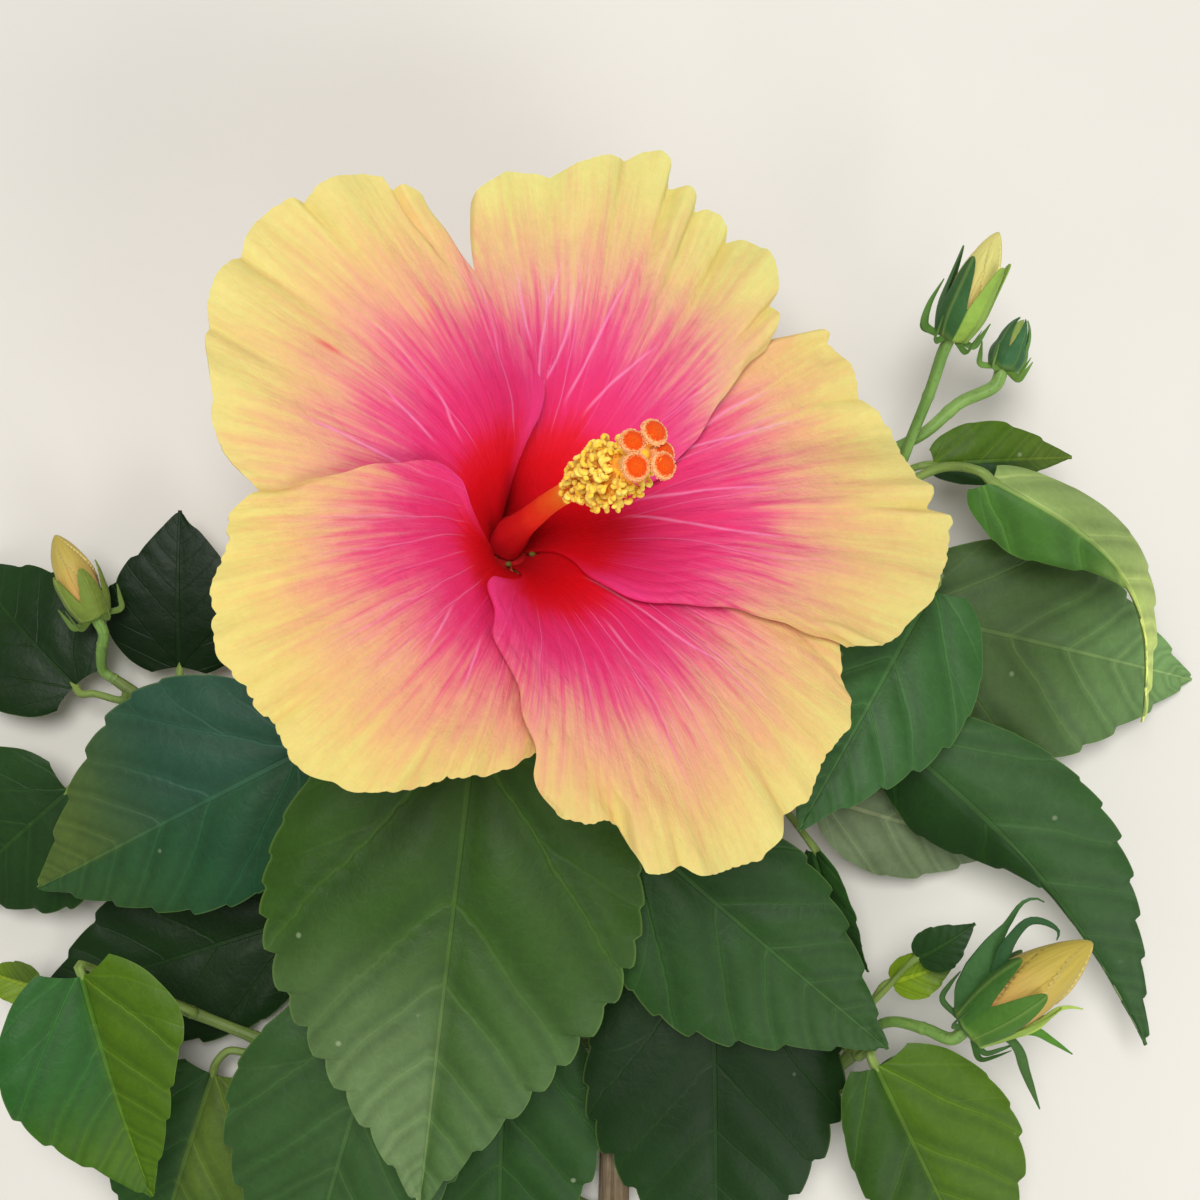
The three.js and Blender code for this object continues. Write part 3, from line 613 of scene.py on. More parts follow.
# Each runs through its points from its foot, between the two radii, in mm. A twig's on and at say
# where it leaves another stem, and ridges say how uneven its skin is at the foot.
stems = {
    "main_stem": dict(
        slot="bark", radii=(4.0, 1.6), ridges=0.07, sides=26,
        points=[(-4, -205, 4), (2, -150, 6), (3, -100, 7.5), (0, -60, 9), (6, -20, 10),
                (24, 6, 15), (46, 19, 21), (60, 26, 26)]),
    "twig_left": dict(
        slot="green_stem", radii=(2.1, 1.1), ridges=0.03, sides=18, on="main_stem", at=0.425,
        points=[(-30, -72, 9), (-60, -50, 11), (-88, -28, 13), (-104, -16, 16)]),
    "twig_low_left": dict(
        slot="green_stem", radii=(2.0, 1.1), ridges=0.03, sides=18, on="main_stem", at=0.28,
        points=[(-30, -115, 8), (-60, -100, 10), (-92, -86, 13)]),
    "twig_low_right": dict(
        slot="green_stem", radii=(1.9, 1.2), ridges=0.03, sides=18, on="main_stem", at=0.31,
        points=[(30, -112, 9), (50, -100, 14), (57, -91, 19)]),
}

stemBuild = {
    "rings": 181,
    "sunk": 0.8, "sunkAtTip": 1.5,  # how far a stalk starts inside its stem, mm
    "joint": 0.16, "jointLength": 3.0,  # how much a leaf joint swells the stem, and over how far, mm
    # from the middle of the cut face to its rim: the share of the way, and the height in mm
    "cutFace": [(0.05, 0.072), (0.22, 0.084), (0.5, 0.144), (0.78, 0.15), (0.93, 0.096), (1.0, 0.168)],
}


def seatOn(stemName, at, towards):
    # Where a stalk leaves its stem, from a little under the bark, and the way out.
    stem = stems[stemName]
    path = stem["path"]
    place = at * (len(path) - 1)
    low = min(int(place), len(path) - 2)
    point = path[low] + (path[low + 1] - path[low]) * (place - low)
    tangent = unit(path[min(low + 2, len(path) - 1)] - path[max(low - 1, 0)])
    if at == 1:
        return path[-1] - tangent * stemBuild["sunkAtTip"], tangent
    out = np.array(towards, float) - point
    out = unit(out - tangent * out.dot(tangent))
    return point + out * (between(stem["radii"], at) - stemBuild["sunk"]), out


def stalkPoints(stemName, at, via):
    start, out = seatOn(stemName, at, via[0])
    return [start, start + out * 3.0] + [np.array(p, float) for p in via]


for stem in stems.values():
    points = stem["points"]
    if "on" in stem:
        points = stalkPoints(stem["on"], stem["at"], points)
    stem["path"] = throughPoints(points, stemBuild["rings"])
    stem["joints"] = []


def stemRings(stem):
    path, sides = stem["path"], stem["sides"]
    along = np.linspace(0, 1, len(path))
    radii = between(stem["radii"], along)
    length = np.linalg.norm(np.diff(path, axis=0), axis=1).sum()
    for at in stem["joints"]:
        radii = radii * (1 + stemBuild["joint"] * hump((along - at) * length, stemBuild["jointLength"]))
    angle, far = anglesRound(sides), along[:, None] * length
    uneven = 0.6 * wobble(3, np.cos(angle) * 3, far / 9, 1.6)
    uneven = uneven + 0.4 * wobble(5, np.sin(angle) * 5, far / 4, 1.4)
    swell = 1 + stem["ridges"] * (1 - 0.7 * along[:, None]) * uneven  # smoother where it is younger
    rings = ringsAlong(path, radii, sides, swell=swell)
    rings[-1] = rings[-1].mean(0) + (rings[-1] - rings[-1].mean(0)) * 0.7
    return rings


def cutEnd(ring):
    # The cut face, with its pith, wood and green bark.
    middle, sides = ring.mean(0), len(ring)
    out = unit(np.cross(ring[1] - middle, ring[0] - middle))
    share, height = (column[:, None, None] for column in np.array(stemBuild["cutFace"]).T)
    verts = (middle + (ring - middle) * share + out * height).reshape(-1, 3)
    index = np.arange(len(verts)).reshape(-1, sides)
    turned = np.roll(index, -1, axis=1)
    quads = np.stack([turned[:-1], turned[1:], index[1:], index[:-1]], axis=-1).reshape(-1, 4)
    place = np.broadcast_arrays(share[:, :, 0], np.linspace(0, 1, sides), 0.0)
    return shapeOf(verts, quads.tolist() + [index[0, ::-1].tolist()], 1,
                   place=np.stack(place, axis=-1).reshape(-1, 3))


# The leaves

# Leaf colours. Some are painted light: the front leaf's two tip tones paint a pale sheen on it, and the two
# darkest paint shadow on leaves lying in the plant's shade.
tones = {
    "front": (46, 79, 17), "sheen": (78, 108, 58), "silver": (118, 143, 94), "bluish": (36, 74, 54),
    "teal": (30, 74, 42), "moss": (84, 102, 34), "turf": (51, 86, 41), "dusk": (8, 32, 2),
    "leafy": (51, 84, 38), "mid": (37, 73, 25), "deep": (30, 62, 20), "shade": (15, 43, 4),
    "sea": (53, 94, 44), "grey": (62, 86, 41), "light": (126, 166, 100), "grass": (65, 108, 38),
    "cream": (136, 160, 90), "butter": (214, 234, 126), "bright": (72, 104, 14), "fresh": (37, 88, 28),
    "lime": (118, 148, 26), "pale": (113, 131, 93), "olive": (84, 108, 36),
}

# What a leaf has unless its own entry says otherwise: how it arches, folds at the midrib, cups and
# is lobed at its base, as shares of its length or half width; how much slimmer one side is; its turn
# about the midrib in degrees, and its sideways bend; where it is widest, where side veins leave the
# midrib, how deep and how blunt its teeth are, and how far it rises between its side veins, in mm.
usualLeaf = dict(arch=0.06, fold=0.05, cup=0.1, heart=0.04, slimLeft=0, slimRight=0, roll=0, bend=0,
                 peak=0.35, ribs=(0, 0.31, 0.5, 0.67, 0.8, 0.9, 0.97), bite=0.065, blunt=0.25, puff=0.8)

leafBuild = {
    "rows": 110, "cols": 26, "smallRows": 56, "smallCols": 14, "smallUnder": 40,  # mm long
    "thickness": 0.32,  # mm
    "toothEvery": 8.5,  # mm, where a leaf doesn't count its teeth
    "groove": 0.45, "grooveWidth": 1.6,  # the dip along the midrib, mm
    "stray": 0.02,  # how far each side vein runs from where it should
    "sway": 0.63, "rimWave": 0.28,  # mm
}

# Base and tip are the ends of each midrib, left and right the half widths; via is what the stalk
# passes. The tone names the right half, the left half, the tip and, where it differs, the left tip.
leaves = {
    # its tip tones paint a pale sheen over it, most on its left half
    "leaf_front": dict(
        on="main_stem", at=0.62, via=[(-12, -32, 30)], base=(-25, -27, 44), tip=(-36, -121, 40),
        right=39, left=38.5, slimLeft=0.03, arch=0.02, fold=0.03, heart=0.08,
        tone="front front silver sheen", teeth=13, bite=0.07, blunt=0.6, puff=1.3,
        ribs=(0, 0.352, 0.52, 0.68, 0.81, 0.92, 0.98)),
    "leaf_left": dict(
        on="twig_left", at=0.55, via=[(-61, -40, 25)], base=(-61, -31, 35), tip=(-117, -60, 23),
        right=27, left=22, arch=0.05, cup=0.12, heart=0.06, tone="bluish teal moss leafy", bite=0.05),
    "leaf_low_left": dict(
        on="twig_low_left", at=0.95, via=[(-100, -79, 24)], base=(-105.5, -75.5, 34),
        tip=(-92, -122.5, 29), right=21, left=20, slimLeft=0.3, arch=0.05, fold=0.3, heart=0.08,
        tone="fresh bright bright", bite=0.05),
    "leaf_under_left": dict(
        on="twig_low_left", at=0.42, via=[(-43, -95, 15)], base=(-45, -85, 24), tip=(-64.5, -151.5, 15),
        right=27, left=25, arch=0.04, heart=0.06, tone="leafy leafy leafy"),
    "leaf_under_mid": dict(
        on="main_stem", at=0.49, via=[(-9, -78, 14)], base=(-20, -86.5, 16), tip=(-22, -152, 8),
        right=21, left=22, fold=0.04, heart=0.05, tone="mid mid mid"),
    "leaf_right_low": dict(
        on="main_stem", at=0.66, via=[(7, -34, 24)], base=(8, -48, 35), tip=(59, -92, 30), right=26,
        left=19.5, arch=0.04, fold=0.06, cup=0.12, heart=0.05, tone="mid mid leafy", bite=0.075),
    # its dark tones are painted shadow: it lies in shade low in the plant
    "leaf_low_mid": dict(
        on="main_stem", at=0.53, via=[(12, -66, 17)], base=(23.5, -74, 21), tip=(25, -147, 12), right=28,
        left=28, arch=0.05, cup=0.12, heart=0.06, tone="shade shade deep", bite=0.085),
    "leaf_right_mid": dict(
        on="main_stem", at=0.93, via=[(58, 10, 27)], base=(68.5, 3, 30), tip=(39.5, -46, 41), right=17,
        left=19.5, arch=0.02, fold=0.06, cup=0.12, tone="sea sea sea"),
    "leaf_right_big": dict(
        on="main_stem", at=0.88, via=[(52, 4, 18)], base=(64, -2.5, 21), tip=(130, -17.5, 0.5), right=27,
        left=21, arch=0.1, cup=0.12, heart=0.05, tone="grey grey light", bite=0.05),
    "leaf_right_long": dict(
        on="main_stem", at=0.82, via=[(44, -12, 21)], base=(60.5, -28.5, 27), tip=(116, -94.5, 15),
        right=13.5, left=20, slimRight=0.93, bend=0.06, arch=0.03, foldRight=-0.6, foldLeft=0.12,
        heart=0.03, peak=0.36, tone="deep turf turf"),
    "leaf_right_droop": dict(
        on="main_stem", at=0.975, via=[(70, 27, 33)], base=(77.5, 24.5, 38), tip=(114, -25.5, 20),
        right=13, left=8.5, slimRight=0.95, bend=0.17, arch=0.12, foldRight=-0.35, foldLeft=-0.9,
        cup=0.05, heart=0.02, tone="grass cream butter", bite=0.05),
    "leaf_top_small": dict(
        on="main_stem", at=0.95, via=[(64, 27, 25)], base=(68.5, 28, 26), tip=(99, 30, 20), right=5,
        left=8.5, arch=0.08, heart=0.03, tone="deep bright olive"),
    "leaf_back_pale": dict(
        on="main_stem", at=0.66, via=[(22, -36, 11)], base=(48, -42.5, 13), tip=(88.5, -55, 0.5),
        right=12.5, left=12, fold=0.04, tone="pale pale pale"),
    "leaf_edge_on": dict(
        on="main_stem", at=0.74, via=[(24, -28, 16), (38, -43, 22)], base=(44.5, -52, 24),
        tip=(57, -79, 15), right=5, left=5.5, arch=0.05, fold=0.1, roll=50, heart=0.03,
        tone="deep mid deep"),
    "leaf_low_right": dict(
        on="twig_low_right", at=0.93, via=[(56.5, -93, 24)], base=(56.5, -95.5, 27),
        tip=(82.5, -148.5, 16), right=14, left=22, fold=0.1, cup=0.12, tone="front bright bright"),
    "leaf_low_right_back": dict(
        on="twig_low_right", at=0.7, via=[(50, -106, 10)], base=(58, -105, 9), tip=(91, -118, 0.5),
        right=12, left=12, heart=0.03, tone="grey grey pale"),
    # this leaf and leaf_left_far lie in shade behind the others; their dark tones are painted shadow
    "leaf_left_back": dict(
        on="twig_left", at=0.84, via=[(-90, -22, 13)], base=(-90, -15, 12), tip=(-89, 19, 16), right=16,
        left=16, tone="dusk dusk dusk"),
    "leaf_left_far": dict(
        on="twig_left", at=0.96, via=[(-108, -20, 13)], base=(-112, -19, 12), tip=(-138, 8, 0.5),
        right=16, left=17, arch=0.1, tone="shade shade deep"),
    "leaf_left_edge": dict(
        on="twig_left", at=0.8, via=[(-100, -34, 15)], base=(-112, -40, 17), tip=(-140, -64, 6),
        right=20, left=20, tone="deep deep deep"),
    # its darkest tone is painted shadow: it fills the shade behind the leaves in front
    "leaf_dark_behind": dict(
        on="twig_low_left", at=0.6, via=[(-62, -86, 7)], base=(-65, -69, 6), tip=(-124, -88, 0.5),
        right=22, left=20, arch=0.03, fold=0.03, cup=0.05, heart=0.05, tone="shade shade shade"),
    "leaf_low_back": dict(
        on="twig_low_left", at=0.8, via=[(-80, -97, 10)], base=(-83, -101, 10), tip=(-98, -148, 4),
        right=18, left=18, arch=0.05, tone="mid olive mid"),
    "young_leaf_left": dict(
        on="twig_low_left", at=0.99, via=[(-102, -89, 17)], base=(-117, -81, 22), tip=(-129, -77, 22),
        right=4.5, left=4.5, arch=0.1, fold=0.2, cup=0, heart=0, tone="olive lime lime"),
    "leaf_small_right": dict(
        on="twig_low_right", at=0.95, via=[(60, -80, 25)], base=(65, -73.5, 30), tip=(76, -65.5, 35),
        right=5, left=5, arch=0.1, fold=0.2, cup=0, heart=0, tone="deep deep deep"),
    "young_leaf_right": dict(
        on="twig_low_right", at=0.9, via=[(57, -84, 21)], base=(60.5, -79.5, 24), tip=(74, -74, 27),
        right=5, left=5, arch=0.1, fold=0.2, cup=0, heart=0, tone="lime lime bright"),
    "leaf_back_top": dict(
        on="main_stem", at=0.81, via=[(17, 12, 14)], base=(13, 22, 12), tip=(18, 62, 0.5), right=17,
        left=17, heart=0.05, tone="mid mid mid"),
    "leaf_back_left": dict(
        on="main_stem", at=0.72, via=[(-4, -2, 12)], base=(-14, 8, 12), tip=(-50, 45, 0.5), right=20,
        left=20, heart=0.05, tone="mid mid mid"),
}


def ovate(u, peak, slim):
    # Half width of a blade along its midrib, as a share of its widest.
    swell = np.maximum(np.sin(np.pi * u ** (math.log(0.5) / math.log(peak))), 0)
    return swell ** np.where(u < peak, 0.7, 1.08) * (1 - slim * smooth((u - 0.2) / 0.35))


def teethAlong(u, run, blunt):
    # Teeth point forwards: a long rounded back and a short steep front.
    turn = run % 1
    sharp = np.where(turn < 0.78, (turn / 0.78) ** 0.8, 1 - smooth((turn - 0.78) / 0.22))
    tooth = sharp + (np.sqrt(np.maximum(1 - (2 * turn**1.3 - 1) ** 2, 0)) - sharp) * blunt
    atEnds = smooth((u - 0.08) / 0.08) * smooth((1 - u) / 0.03)
    return tooth * atEnds * (0.45 + 0.55 * smooth((u - 0.3) / 0.25))


def sideVeins(u, off, width, length, ribs):
    # Follows the side veins, which lean forwards a little more further out, back to the midrib.
    lean = 0.86 + 0.5 * (1 - u) ** 2 + 0.3 * off / width
    root = u - lean * off / length
    steps = np.interp(root, ribs, np.arange(len(ribs)))
    gap = np.interp(root, ribs[:-1], np.diff(ribs)) / 0.17  # narrow strips near the tip rise less
    steps = np.where(root < 0, np.maximum(root * 5, -0.5), steps)
    return steps, (u - 0.2 * off / width) / 0.13, gap


def puffBetween(u, v, steps, branch, gap, high, seed):
    # How far the blade rises between its side veins, a little differently from strip to strip.
    size = np.abs(v)
    crest = np.abs((steps + 0.5) % 1 - 0.5) * 2
    low = np.maximum(-steps * 2, 0) * (0.5 + np.abs((branch + 0.5) % 1 - 0.5))  # below the first veins
    puff = high * np.where(steps < 0, low, crest) ** 0.7 * smooth(size * 5) * smooth((1 - size) * 4 + 0.2)
    return puff * np.minimum(gap, 1.3) * (1 + 0.35 * wobble(seed, u * 5, v * 2))


def bladeTone(names, u, v, seed):
    rightTone, leftTone, tipTone, *leftTip = (np.array(paint(*tones[name])) for name in names.split())
    turnOver = smooth(v * 5 + 0.5)[:, :, None]
    if leftTip:
        tipTone = tipTone * (1 - turnOver) + leftTip[0] * turnOver
    tone = rightTone * (1 - turnOver) + leftTone * turnOver
    endShare = (smooth((u - 0.35) / 0.5) * (0.75 + 0.25 * wobble(seed, u * 3, v * 2)))[:, :, None]
    return tone * (1 - endShare) + tipTone * endShare


def leafShapes(leaf, seed):
    leaf = {**usualLeaf, **leaf}
    base, tip = np.array(leaf["base"], float), np.array(leaf["tip"], float)
    length = np.linalg.norm(tip - base)
    rows, cols = leafBuild["rows"], leafBuild["cols"]
    if length < leafBuild["smallUnder"]:
        rows, cols = leafBuild["smallRows"], leafBuild["smallCols"]
    along = unit(tip - base)
    side = unit(np.cross(upwards, along))
    roll = math.radians(leaf["roll"])
    side = side * math.cos(roll) + np.cross(along, side) * math.sin(roll)
    up = np.cross(along, side)

    # u runs from the base to the tip, and v from the right rim to the left one
    u, v = sheetGrid(rows, cols)
    u = 0.02 + 0.98 * u
    size = np.abs(v)
    isRight = v < 0
    width = np.where(isRight, leaf["right"], leaf["left"])
    slim = np.where(isRight, leaf["slimRight"], leaf["slimLeft"])
    fold = np.where(isRight, leaf.get("foldRight", leaf["fold"]), leaf.get("foldLeft", leaf["fold"]))
    half = np.maximum(width * ovate(u, leaf["peak"], slim), 0.35)

    count = leaf.get("teeth", max(4, round(length / leafBuild["toothEvery"])))
    run = (u - 0.1) / 0.9 * count + 0.3 * isRight + 0.25 * wobble(seed, u * 5, size * 0)
    tooth = teethAlong(u, run, leaf["blunt"])
    reach = smooth((size - 0.55) / 0.45)
    y = v * half * (1 + leaf["bite"] * (tooth - 0.6) * smooth((u - 0.05) / 0.1) * reach)
    lobe = leaf["heart"] * np.maximum(0, 1 - u / 0.3) ** 2
    x = length * (u - lobe * size**1.5) + tooth * reach * min(1.7, length * 0.018)

    stray = leafBuild["stray"] * wobble(seed + 1, u * 3, v * 1.5) * size + 0.018 * isRight
    steps, branch, gap = sideVeins(u + stray, np.abs(y), width, length, leaf["ribs"])
    scale = min(1, length / 80)  # small leaves are flatter
    puff = puffBetween(u, v, steps, branch, gap, leaf["puff"] * scale, seed + 2)
    groove = -leafBuild["groove"] * scale * hump(y, leafBuild["grooveWidth"]) * (1 - u)
    sway = leafBuild["sway"] * scale * wobble(seed + 7, u * 4, v * 1.6) * size
    sway = sway + leafBuild["rimWave"] * scale * np.sin(u * 40 + seed) * size**4
    bulge = np.sin(np.pi * u) * length
    z = leaf["arch"] * bulge + fold * np.abs(y) - leaf["cup"] * y * y / width + puff + groove + sway
    mid = base + along * x[:, :, None] + side * (y + leaf["bend"] * bulge)[:, :, None] + up * z[:, :, None]
    place = np.stack([u, size, np.full_like(u, seed * 0.37)], axis=2)
    veins = np.stack([steps, branch, np.abs(y)], axis=2)
    thin = leafBuild["thickness"] * (1 - 0.35 * size)[:, :, None]
    tone = bladeTone(leaf["tone"], u, v, seed + 3)
    blade = sheetShape(mid, thin, 0, place=place, veins=veins, tone=tone)
    return [blade, leafStalk(leaf, mid[:, cols // 2], base - along * 1.5, up, length)]


def leafStalk(leaf, middle, neck, up, length):
    # The stalk, which runs on under the blade as its midrib.
    girth = 0.55 + length * 0.006
    foot = stalkPoints(leaf["on"], leaf["at"], leaf["via"])
    stalk = throughPoints(foot + [neck, middle[0] - up * girth * 0.7], 34)
    under = middle[3::4]
    rib = under - up * (0.12 + girth * 0.75 * np.linspace(1, 0.15, len(under)))[:, None]
    bare = np.linalg.norm(np.diff(stalk, axis=0), axis=1).sum()
    run = np.linspace(0, 1, len(stalk))
    joints = 0.75 * hump(run * bare, 2.2) + 0.2 * hump((1 - run) * bare, 2.5)
    radii = np.concatenate([girth * (1.02 + joints), girth * np.linspace(0.95, 0.2, len(rib))])
    return ringShape(ringsAlong(np.concatenate([stalk, rib]), radii, 10), 1)


for leaf in leaves.values():
    stems[leaf["on"]]["joints"].append(leaf["at"])

for name, stem in stems.items():
    rings = stemRings(stem)
    shapes, skins = [ringShape(rings)], [finishes["twig"]]
    if name == "main_stem":
        shapes, skins = shapes + [cutEnd(rings[0])], [finishes["bark"], finishes["cutWood"]]
    makePiece(name, shapes, skins)
print("stems made:", len(stems))

for seed, (name, leaf) in enumerate(leaves.items()):
    makePiece(name, leafShapes(leaf, seed + 11), [finishes["leaf"], finishes["stalk"]])
print("leaves made:", len(leaves))


# The bloom

bloom = {
    "centre": (-18, 10, 48), "tilt": 26, "heading": 29,  # mm, and degrees from upwards and round
    "clawRadius": 3.9, "funnelDepth": 34, "funnelSpread": 13, "flatFrom": 30, "droop": 0.0012,
    "lift": 1.7,  # how far petals stand apart where they overlap, mm
    "thickness": 0.34, "evenReach": 70,
    "rows": 84, "cols": 196,
    "ruffle": 1.5, "crimp": 0.8, "ripple": 0.3,  # broad, narrower and finest waves of the rim, mm
    "pucker": 1.0,  # how far the rim's lobes rise above its bites
    "scallop": 0.3, "frill": 0.4, "saw": 0.3,  # wide, narrow and fine bites in the rim, mm
    "roll": 0.9, "rollAt": 20,  # how far the overlapping side curls up, and how far out, mm
    "pleat": 0.16, "crinkle": 0.16,  # how far the tissue swells between veins, mm
    "creaseShade": (0.05, 0.08, 0.16, 0.0),  # painted shade in the rim's creases: what it takes away from the colour
    # painted shadows deep in the throat: mm from the middle, degrees round, how long and wide, and what they
    # take away
    "throatShadows": [(7.0, 118, 2.2, 1.5, (0.68, 0.68, 0.68)), (10.0, 118, 2.8, 1.9, (0.44, 0.4, 0.4)),
                (6.0, 155, 2.0, 1.3, (0.36, 0.36, 0.36))],
}

# Centre is a petal's direction in degrees. The edge says how far its overlapping side reaches
# ahead of that, in degrees, at distances from the middle in mm; trail is the other side.
# The rim gives how far out the petal reaches, in mm, at angles round the bloom. The strong veins
# run through (distance, degrees behind the centre). Folds run outwards: where from side to side,
# how wide, how high in mm. The tint shades the whole petal and slant shades it from side to side;
# redder carries the red on by so many mm; calm scales the bites in the rim and round rounds them
# off, in mm; marginWave is how far the overlapping edge sways, in degrees; scars are dark spots.
usualPetal = dict(calm=1, round=1.6, marginWave=0.5, redder=0, slant=0, scars=[])

petals = {
    "petal_upper_left": dict(
        centre=146, trail=44, folds=[(-0.5, 0.1, 0.9), (0.0, 0.1, -0.7), (0.35, 0.14, -0.9)],
        edge=[(4, 16), (10, 27), (15, 35), (18.5, 41), (21, 45.5), (24.5, 46.5), (28, 43), (33, 38.7),
              (38, 35.2), (42, 32.6), (48, 30.6), (56, 28.3), (62, 27.8)],
        veins=[[(31, 24), (36, 23.2), (43, 22.1), (50, 21.6)],
               [(27, 10.4), (32.5, 8.5), (36, 7.7), (40, 6.2)],
               [(23, 0.6), (26.3, -1.2), (29, -3.2), (33, -4.6)]],
        tint=(0.97, 0.99, 1.0), redder=2.0, calm=0.45, round=2.4,
        scars=[(51.8, 151.8, 2.6, 0.5, (0.1, 0.7, 0.5)), (44.6, 130, 2.2, 0.7, (0, -0.55, 0.2))],
        rim=[(117, 56.6), (117.8, 60), (118.5, 62.8), (121, 65.4), (122.6, 65.4), (123.3, 68.2),
             (125.6, 70.2), (130, 71.6), (133, 72.2), (135.3, 71.6), (136.3, 73.8), (139, 75), (142, 75.2),
             (144.5, 74.6), (146.8, 73), (148.5, 73.9), (152.3, 74.6), (156, 73.2), (159, 71),
             (160.5, 71.4), (169.5, 66.4), (172.5, 66), (177, 63.2), (180, 60), (184, 55), (190, 50)]),
    "petal_top": dict(
        centre=76, trail=31.5, folds=[(-0.5, 0.09, -1.5), (-0.18, 0.07, 1.3), (0.3, 0.1, 0.7)],
        edge=[(4, 16), (10, 28), (15, 42), (18.5, 50), (22, 51.5), (27, 47.7), (31, 44.2), (35, 40.3),
              (40, 37.4), (43, 35.6), (49, 34.5), (54, 34)],
        veins=[[(20, 22.5), (25, 23.1), (31, 22.4), (38, 20.1), (44, 20.6)],
               [(38, 20.1), (42.4, 17.9), (47, 16.2)],
               [(23, 9.4), (28.3, 6.1), (33, 4.1), (41.3, 1.7), (48, -0.6)],
               [(22, -1.6), (27.6, -6.2), (32.6, -10.1), (38, -14)],
               [(25, 20.6), (29.2, 16.5), (33, 14.3), (42, 12.8)], [(32, 25.6), (37, 27), (46, 26.9)]],
        tint=(0.98, 1.07, 1.07), redder=1.0, calm=0.5, round=3.2,
        rim=[(42, 53.8), (43.5, 57.6), (45, 59.6), (47.5, 60.2), (48.5, 63.4), (51, 66.4), (54, 68.8),
             (58, 69.4), (59.7, 67.6), (61, 69.8), (63, 71), (65.5, 70.2), (67.2, 68), (68.3, 70.4),
             (70, 71.2), (72.6, 69.8), (73.2, 72.6), (73.9, 75.6), (75, 76.9), (78, 75.0), (81, 71),
             (84, 70.2), (93, 64.8), (100.5, 65.8), (106.5, 62.6), (108, 60)]),
    "petal_right": dict(
        centre=8, trail=32, folds=[(0.35, 0.1, -1.4), (-0.05, 0.08, 1.0), (-0.5, 0.12, 0.9)],
        edge=[(4, 15), (7, 23), (10, 37), (14.3, 52), (19.3, 54.5), (24.2, 49.5), (27, 44.3), (30, 39.8),
              (34.3, 36.1), (39, 33.2), (45, 31.7), (59, 28.9)],
        veins=[[(27, 24), (33.6, 21.5), (38.5, 19.9), (52, 18)], [(33, 26), (39, 27), (50, 26)],
               [(19, 10), (25.4, 7.1), (30.6, 6), (42, 3.4)],
               [(17, 1.6), (22.3, -3.6), (28, -7.3), (35, -9.3), (43, -10)]],
        tint=(0.98, 0.97, 0.97), redder=-2.0, slant=0.05,
        rim=[(-21, 60), (-19.5, 62.2), (-18, 67), (-15, 70.6), (-12, 73), (-9, 75.6), (-6, 76.6),
             (-1.5, 79.6), (4.5, 81), (6, 75.8), (9, 76.4), (10.5, 74.4), (15, 73.2), (19.5, 75),
             (22.5, 72.8), (25.5, 69.4), (31.5, 71), (36, 69.2), (37.5, 70), (41, 62)]),
    "petal_lower_right": dict(
        centre=302, trail=41, folds=[(-0.3, 0.1, -0.9), (0.1, 0.1, 0.8), (0.5, 0.12, -0.8)],
        edge=[(4, 17), (8, 36), (12, 54), (16, 68), (19, 75), (21, 74.5), (24, 67.5), (28.5, 60.5),
              (31, 55), (33.8, 51), (37.7, 46), (42, 43), (47, 39.7), (52, 37.8), (56, 34.5)],
        veins=[[(14, 14.9), (18.4, 13.5), (23.2, 13.8), (28.4, 14), (33.7, 14.9), (41, 18)],
               [(22, -4.3), (27.2, -4.5), (32, -2.6)]],
        tint=(0.97, 0.95, 0.94), redder=1.2, slant=0.02, marginWave=1.2,
        rim=[(267, 55.4), (268.5, 56.8), (273, 57.6), (277.5, 57.2), (279, 58), (280.5, 60.8), (282, 67),
             (283.5, 67.8), (288, 67.4), (291, 70.6), (297, 71.6), (301.5, 73.2), (306, 71.6), (309, 69.2),
             (313.5, 70.4), (321, 66.6), (327, 67.4), (331.5, 65.8), (334.5, 62.2), (339, 60), (343, 57)]),
    "petal_lower_left": dict(
        centre=222, trail=44, folds=[(-0.4, 0.1, -0.9), (0.0, 0.08, 0.6), (0.35, 0.12, -0.8)],
        edge=[(4, 16), (10, 28), (15, 40), (17.5, 46), (19.3, 52), (21, 56), (24.3, 57.4), (29, 53.9),
              (36.3, 48), (43.4, 43.5), (50.3, 40.2), (59, 38.5)],
        veins=[[(30, 16.6), (35.2, 18.1), (40, 19.2)], [(29, 1.2), (34.1, 3.7), (40, 5.8)]],
        tint=(0.98, 0.97, 0.9), redder=2.4, slant=-0.03, calm=1.7, round=0.9,
        rim=[(183, 55), (184.5, 59), (187.5, 62.4), (192, 63.4), (195, 64.8), (198, 68), (201, 68.2),
             (205.5, 70.8), (210, 70.4), (213, 68.6), (216, 69.6), (219, 67.6), (222, 69), (226.5, 69.6),
             (231, 67.4), (235.5, 65.6), (246, 55.8), (255, 51), (261, 46.6), (266, 43)]),
}

lean, heading = math.radians(bloom["tilt"]), math.radians(bloom["heading"])
axis = np.array([math.sin(lean) * math.cos(heading), math.sin(lean) * math.sin(heading), math.cos(lean)])
bloomX = unit(np.array([1.0, 0, 0]) - axis * axis[0])
bloomFrame = {"origin": np.array(bloom["centre"], float), "x": bloomX, "y": np.cross(axis, bloomX), "z": axis}


def spotOn(axes, radius, angle, height):
    radius, angle, height = np.broadcast_arrays(radius, angle, height)
    return (axes["origin"] + axes["x"] * (radius * np.cos(angle))[..., None]
            + axes["y"] * (radius * np.sin(angle))[..., None] + axes["z"] * height[..., None])


def funnel(radius):
    rise = bloom["funnelDepth"] * (1 - np.exp(-(radius - 4) / bloom["funnelSpread"]))
    return rise - bloom["droop"] * np.maximum(0, radius - bloom["flatFrom"]) ** 2


def besideFunnel(radius, offset):
    # The radius and height of a spot that stands off the funnel.
    slope = (funnel(radius + 0.05) - funnel(radius - 0.05)) / 0.1
    norm = np.hypot(slope, 1)
    return radius - offset * slope / norm, funnel(radius) + offset / norm


